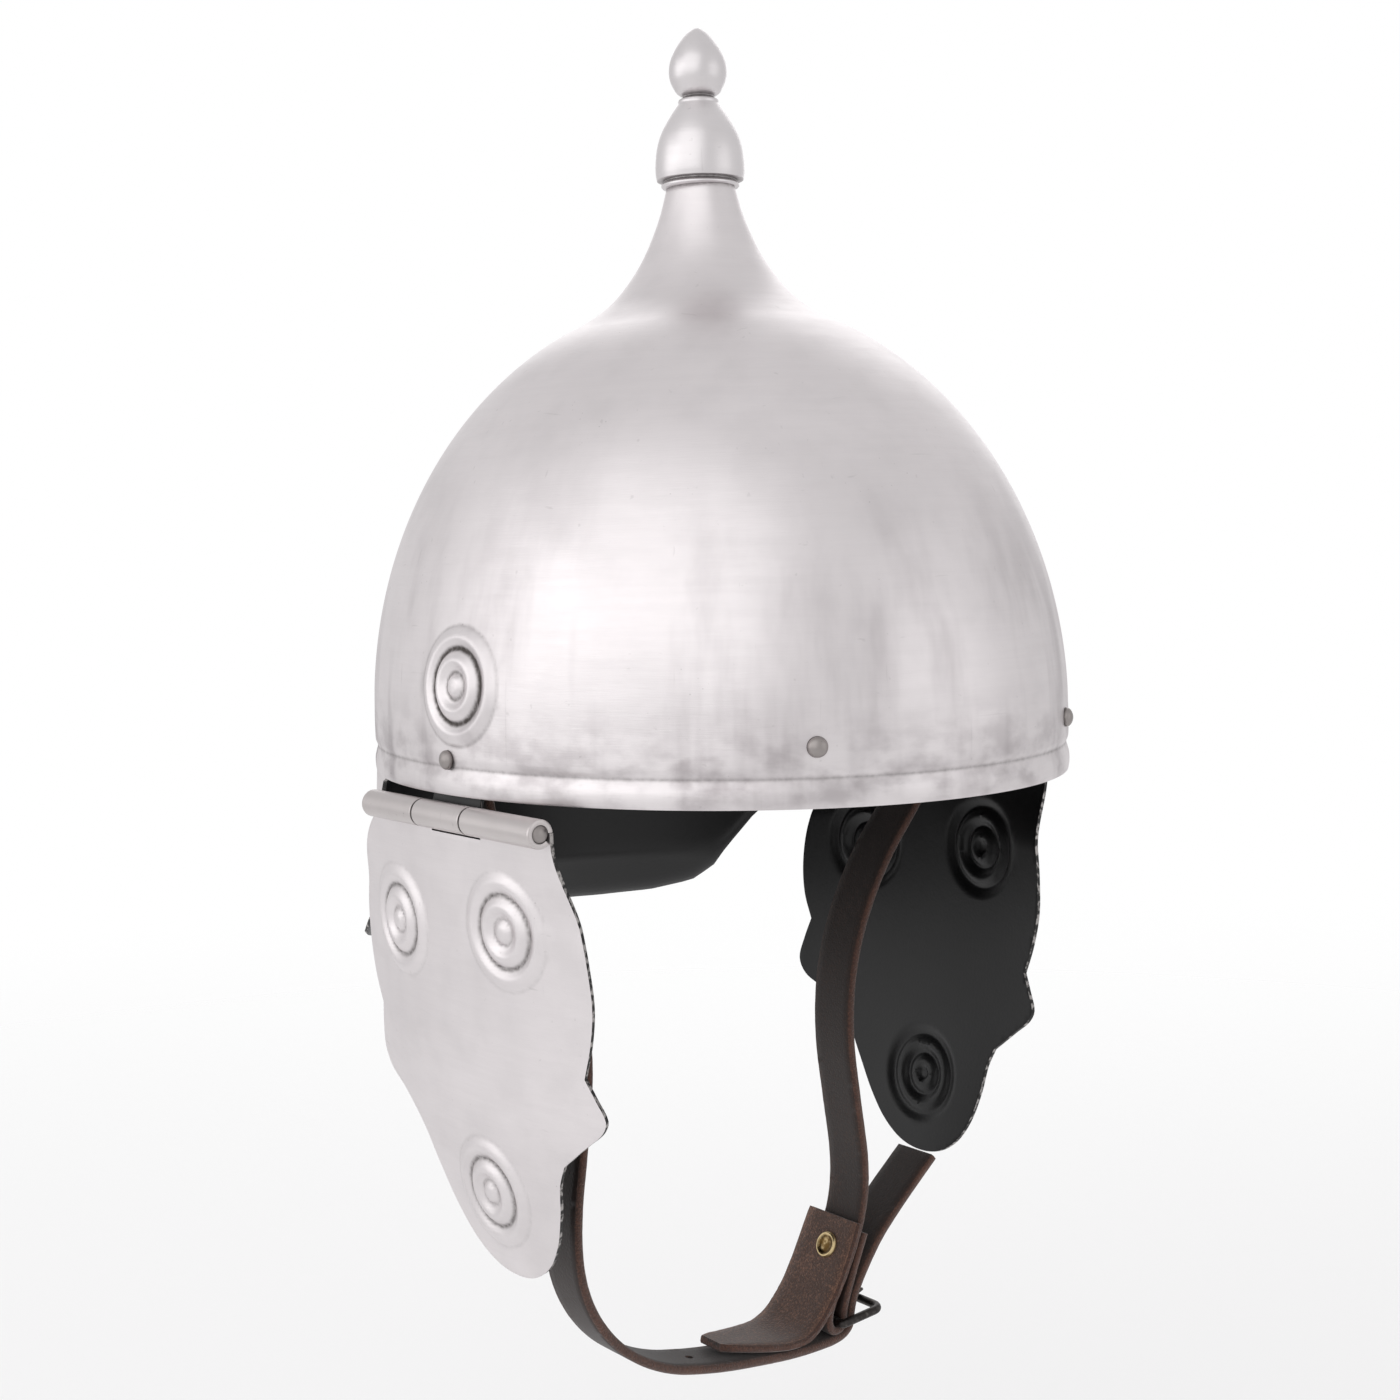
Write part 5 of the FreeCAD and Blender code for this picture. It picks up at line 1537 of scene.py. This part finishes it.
    def make_guard(self) -> None:
        """Builds the guard and its dished rivet."""
        ribbon = Ribbon(self.guard_route(), self.guard_thickness * MM, self.centre_y + 1.5 * MM,
                        self.guard_width, roughness=0.3 * MM)
        materials = (self.finishes.guard, self.finishes.guard, self.finishes.cut)
        guard = Piece("strap_guard_leather", "helmet", "guard_leather", materials, ("strap_guard",), 50.0)
        guard.made(ribbon.mesh())
        strap = self.thickness / MM
        face = self.cap_centre + self.inward * (strap / 2 + self.seat + self.guard_thickness + 0.1) * MM
        past_burr = 1.0 + 0.5
        back = strap + self.pitch + self.seat + self.guard_thickness + self.seat + past_burr
        dish = smooth_line(((4.5, 0.0), (4.55, 0.5), (4.25, 1.15), (3.85, 1.38), (3.4, 1.2), (2.6, 0.7),
                            (1.4, 0.45), (0.0, 0.4)), 0.15)
        profile = [Vector((0, 0, -back)), Vector((1.6, 0, -back)), Vector((1.6, 0, 0))]
        profile += [Vector((p.x, 0, p.y)) for p in dish]
        bm = bmesh.new()
        spun(bm, [p * MM for p in profile], 48)
        layer = bm.verts.layers.float.new("edge")
        for vert in bm.verts:
            vert[layer] = min(max((math.hypot(vert.co.x, vert.co.y) / MM - 3.0) / 0.8, 0.0), 1.0)
        bmesh.ops.transform(bm, matrix=aimed(face, self.inward), verts=bm.verts)
        Piece("strap_rivet_cap", "helmet", "brass", (self.finishes.brass,), ("strap_rivet",), 60.0).made(bm)


# ---- buckle ------------------------------------------------------------------------------------
@dataclass
class Buckle:
    """Wire frame round the strap and the prong on its heel bar."""

    finishes: Finishes
    straps: Straps
    reach: float = 18.5
    wire: float = 1.5
    half: float = 11.5
    corner: float = 3.5
    tilt: float = 3.0
    bar: float = 1.0
    eye_share: float = 0.65

    def on_frame(self, along: float, across: float, up: float = 0.0) -> Vector:
        """Point in metres from distances along the frame, across it and above it in millimetres."""
        turn = math.radians(self.tilt)
        x, z = self.straps.heel
        return Vector((x + along * math.cos(turn) - up * math.sin(turn), self.straps.centre_y / MM + across,
                       z + along * math.sin(turn) + up * math.cos(turn))) * MM

    def make(self) -> None:
        """Builds frame and prong."""
        points = []
        corners = ((0, -1, 180), (1, -1, 270), (1, 1, 0), (0, 1, 90))
        for end, side, start in corners:
            round_over = self.corner if end else 1.0
            middle = Vector((self.reach - round_over if end else round_over, side * (self.half - round_over)))
            for i in range(7):
                turn = math.radians(start + 15 * i)
                points.append(self.on_frame(middle.x + round_over * math.cos(turn),
                                            middle.y + round_over * math.sin(turn)))
        skin = (self.finishes.gunmetal,)
        frame_mesh = tube(points, self.wire * MM, True)
        Piece("buckle_wire", "buckle", "gunmetal", skin, ("buckle_frame",), 50.0).made(frame_mesh)
        eye = self.wire + 0.05 + self.eye_share * self.bar
        line = []
        for i in range(22):
            turn = math.radians(-60 - 14 * i)
            line.append(self.on_frame(eye * math.cos(turn), 0.0, eye * math.sin(turn)))
        shank = ((2.9, 0.5), (4.5, 0.73), (9.0, 1.36), (14.0, 2.07), (18.0, 2.63), (19.6, 2.84), (20.5, 2.7))
        line += [self.on_frame(along, 0.0, up) for along, up in shank]
        taper = [self.eye_share] * (len(line) - len(shank)) + [0.75, 0.95, 1.0, 1.0, 0.95, 0.8, 0.5]
        prong_mesh = tube(line, self.bar * MM, False, taper)
        Piece("buckle_tongue", "prong", "gunmetal", skin, ("buckle_prong",), 50.0).made(prong_mesh)


# ---- studio ------------------------------------------------------------------------------------
@dataclass
class Studio:
    """Pale floor, soft lights and the camera."""

    place: Vector = field(default_factory=lambda: Vector((-0.40710, -0.49685, 0.07816)))
    right: Vector = field(default_factory=lambda: Vector((0.77586, -0.63049, -0.02280)))
    up: Vector = field(default_factory=lambda: Vector((0.07436, 0.05551, 0.99569)))
    target: Vector = field(default_factory=lambda: Vector((0, 0, 0.02)))
    lens: float = 50.09
    floor_z: float = -0.45
    floor_radius: float = 2.4

    def camera(self) -> None:
        """Puts the camera where it looks at the helmet's front right."""
        data = bpy.data.cameras.new("camera")
        data.lens = self.lens
        data.sensor_width = 36.0
        camera = linked("camera", data)
        back = self.right.cross(self.up)
        turn = Matrix((self.right, self.up, back)).transposed().to_4x4()
        camera.matrix_world = Matrix.Translation(self.place) @ turn
        bpy.context.scene.camera = camera

    def light(self, name: str, place: Sequence[float], size: float, power: float) -> None:
        """Adds a large soft light that faces the helmet."""
        data = bpy.data.lights.new(name, "AREA")
        data.size = size
        data.energy = power
        spot = Vector(place)
        linked(name, data).matrix_world = aimed(spot, spot - self.target)

    def floor(self) -> None:
        """Round paper floor that fades into the white surroundings."""
        bm = bmesh.new()
        bmesh.ops.create_circle(bm, cap_ends=True, segments=96, radius=self.floor_radius,
                                matrix=Matrix.Translation((0, 0, self.floor_z)))
        mesh = mesh_from(bm, "floor")
        floor = linked("floor", mesh)
        g = Graph("floor_paper")
        g.feed("Base Color", g.mix(0.02 * g.noise(30.0), (0.93, 0.93, 0.93, 1), (0.85, 0.85, 0.85, 1)))
        g.feed("Roughness", 0.9)
        away = g.node("ShaderNodeVectorMath", {"operation": "LENGTH"}, {0: g.place}, "Value")
        g.feed("Alpha", 1.0 - away.ramp(0.7, 2.2))
        mesh.materials.append(g.material)

    def surroundings(self) -> None:
        """White to the camera and softer grey to everything that it lights."""
        world = bpy.data.worlds.new("studio")
        world.use_nodes = True
        tree = world.node_tree
        lit, out = tree.nodes["Background"], tree.nodes["World Output"]
        lit.inputs["Color"].default_value = (1.0, 0.995, 1.0, 1)
        lit.inputs["Strength"].default_value = 0.76
        seen = tree.nodes.new("ShaderNodeBackground")
        seen.inputs["Color"].default_value = (1.0, 1.0, 1.0, 1)
        path = tree.nodes.new("ShaderNodeLightPath")
        choice = tree.nodes.new("ShaderNodeMixShader")
        tree.links.new(path.outputs["Is Camera Ray"], choice.inputs[0])
        tree.links.new(lit.outputs[0], choice.inputs[1])
        tree.links.new(seen.outputs[0], choice.inputs[2])
        tree.links.new(choice.outputs[0], out.inputs["Surface"])
        bpy.context.scene.world = world

    def make(self) -> None:
        """Sets the scene round the helmet."""
        self.camera()
        self.floor()
        self.surroundings()
        bpy.context.scene.view_settings.view_transform = "Standard"
        self.light("key", (-1.8, -0.7, 1.0), 2.6, 13.0)
        self.light("fill", (1.0, -2.1, 0.4), 1.6, 3.0)
        self.light("rear", (1.4, 1.4, 1.0), 1.8, 9.0)
        self.light("left", (-2.2, 1.2, 0.6), 1.8, 8.0)


# ---- whole helmet ------------------------------------------------------------------------------
def dress_frame_nodes(finishes: Finishes) -> None:
    """Gives the small frame nodes that stay their finishes."""
    steel, brass = finishes.fastener, finishes.brass
    kept = {"finial_stud": steel, "finial_washer": steel, "finial_nut": steel, "rivet_burrs": steel,
            "strap_rivet_burr": brass}
    for name, material in kept.items():
        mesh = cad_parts[name].data
        mesh.materials.clear()
        mesh.materials.append(material)


def main() -> None:
    """Builds the helmet piece by piece and the studio round it."""
    logging.basicConfig(level=logging.INFO, format="%(message)s")
    finishes = Finishes()
    bowl = Bowl(finishes)
    bowl.make()
    Finial(finishes).make()
    line = HingeLine()
    for side in Side:
        CheekPlate(finishes, side, line).make()
        Hinge(finishes, side, line).make()
    Rivets(finishes, bowl).make()
    Liner(finishes).make()
    straps = Straps(finishes)
    straps.make_straps()
    straps.make_guard()
    Buckle(finishes, straps).make()
    dress_frame_nodes(finishes)
    Studio().make()


if __name__ == "__main__":
    main()
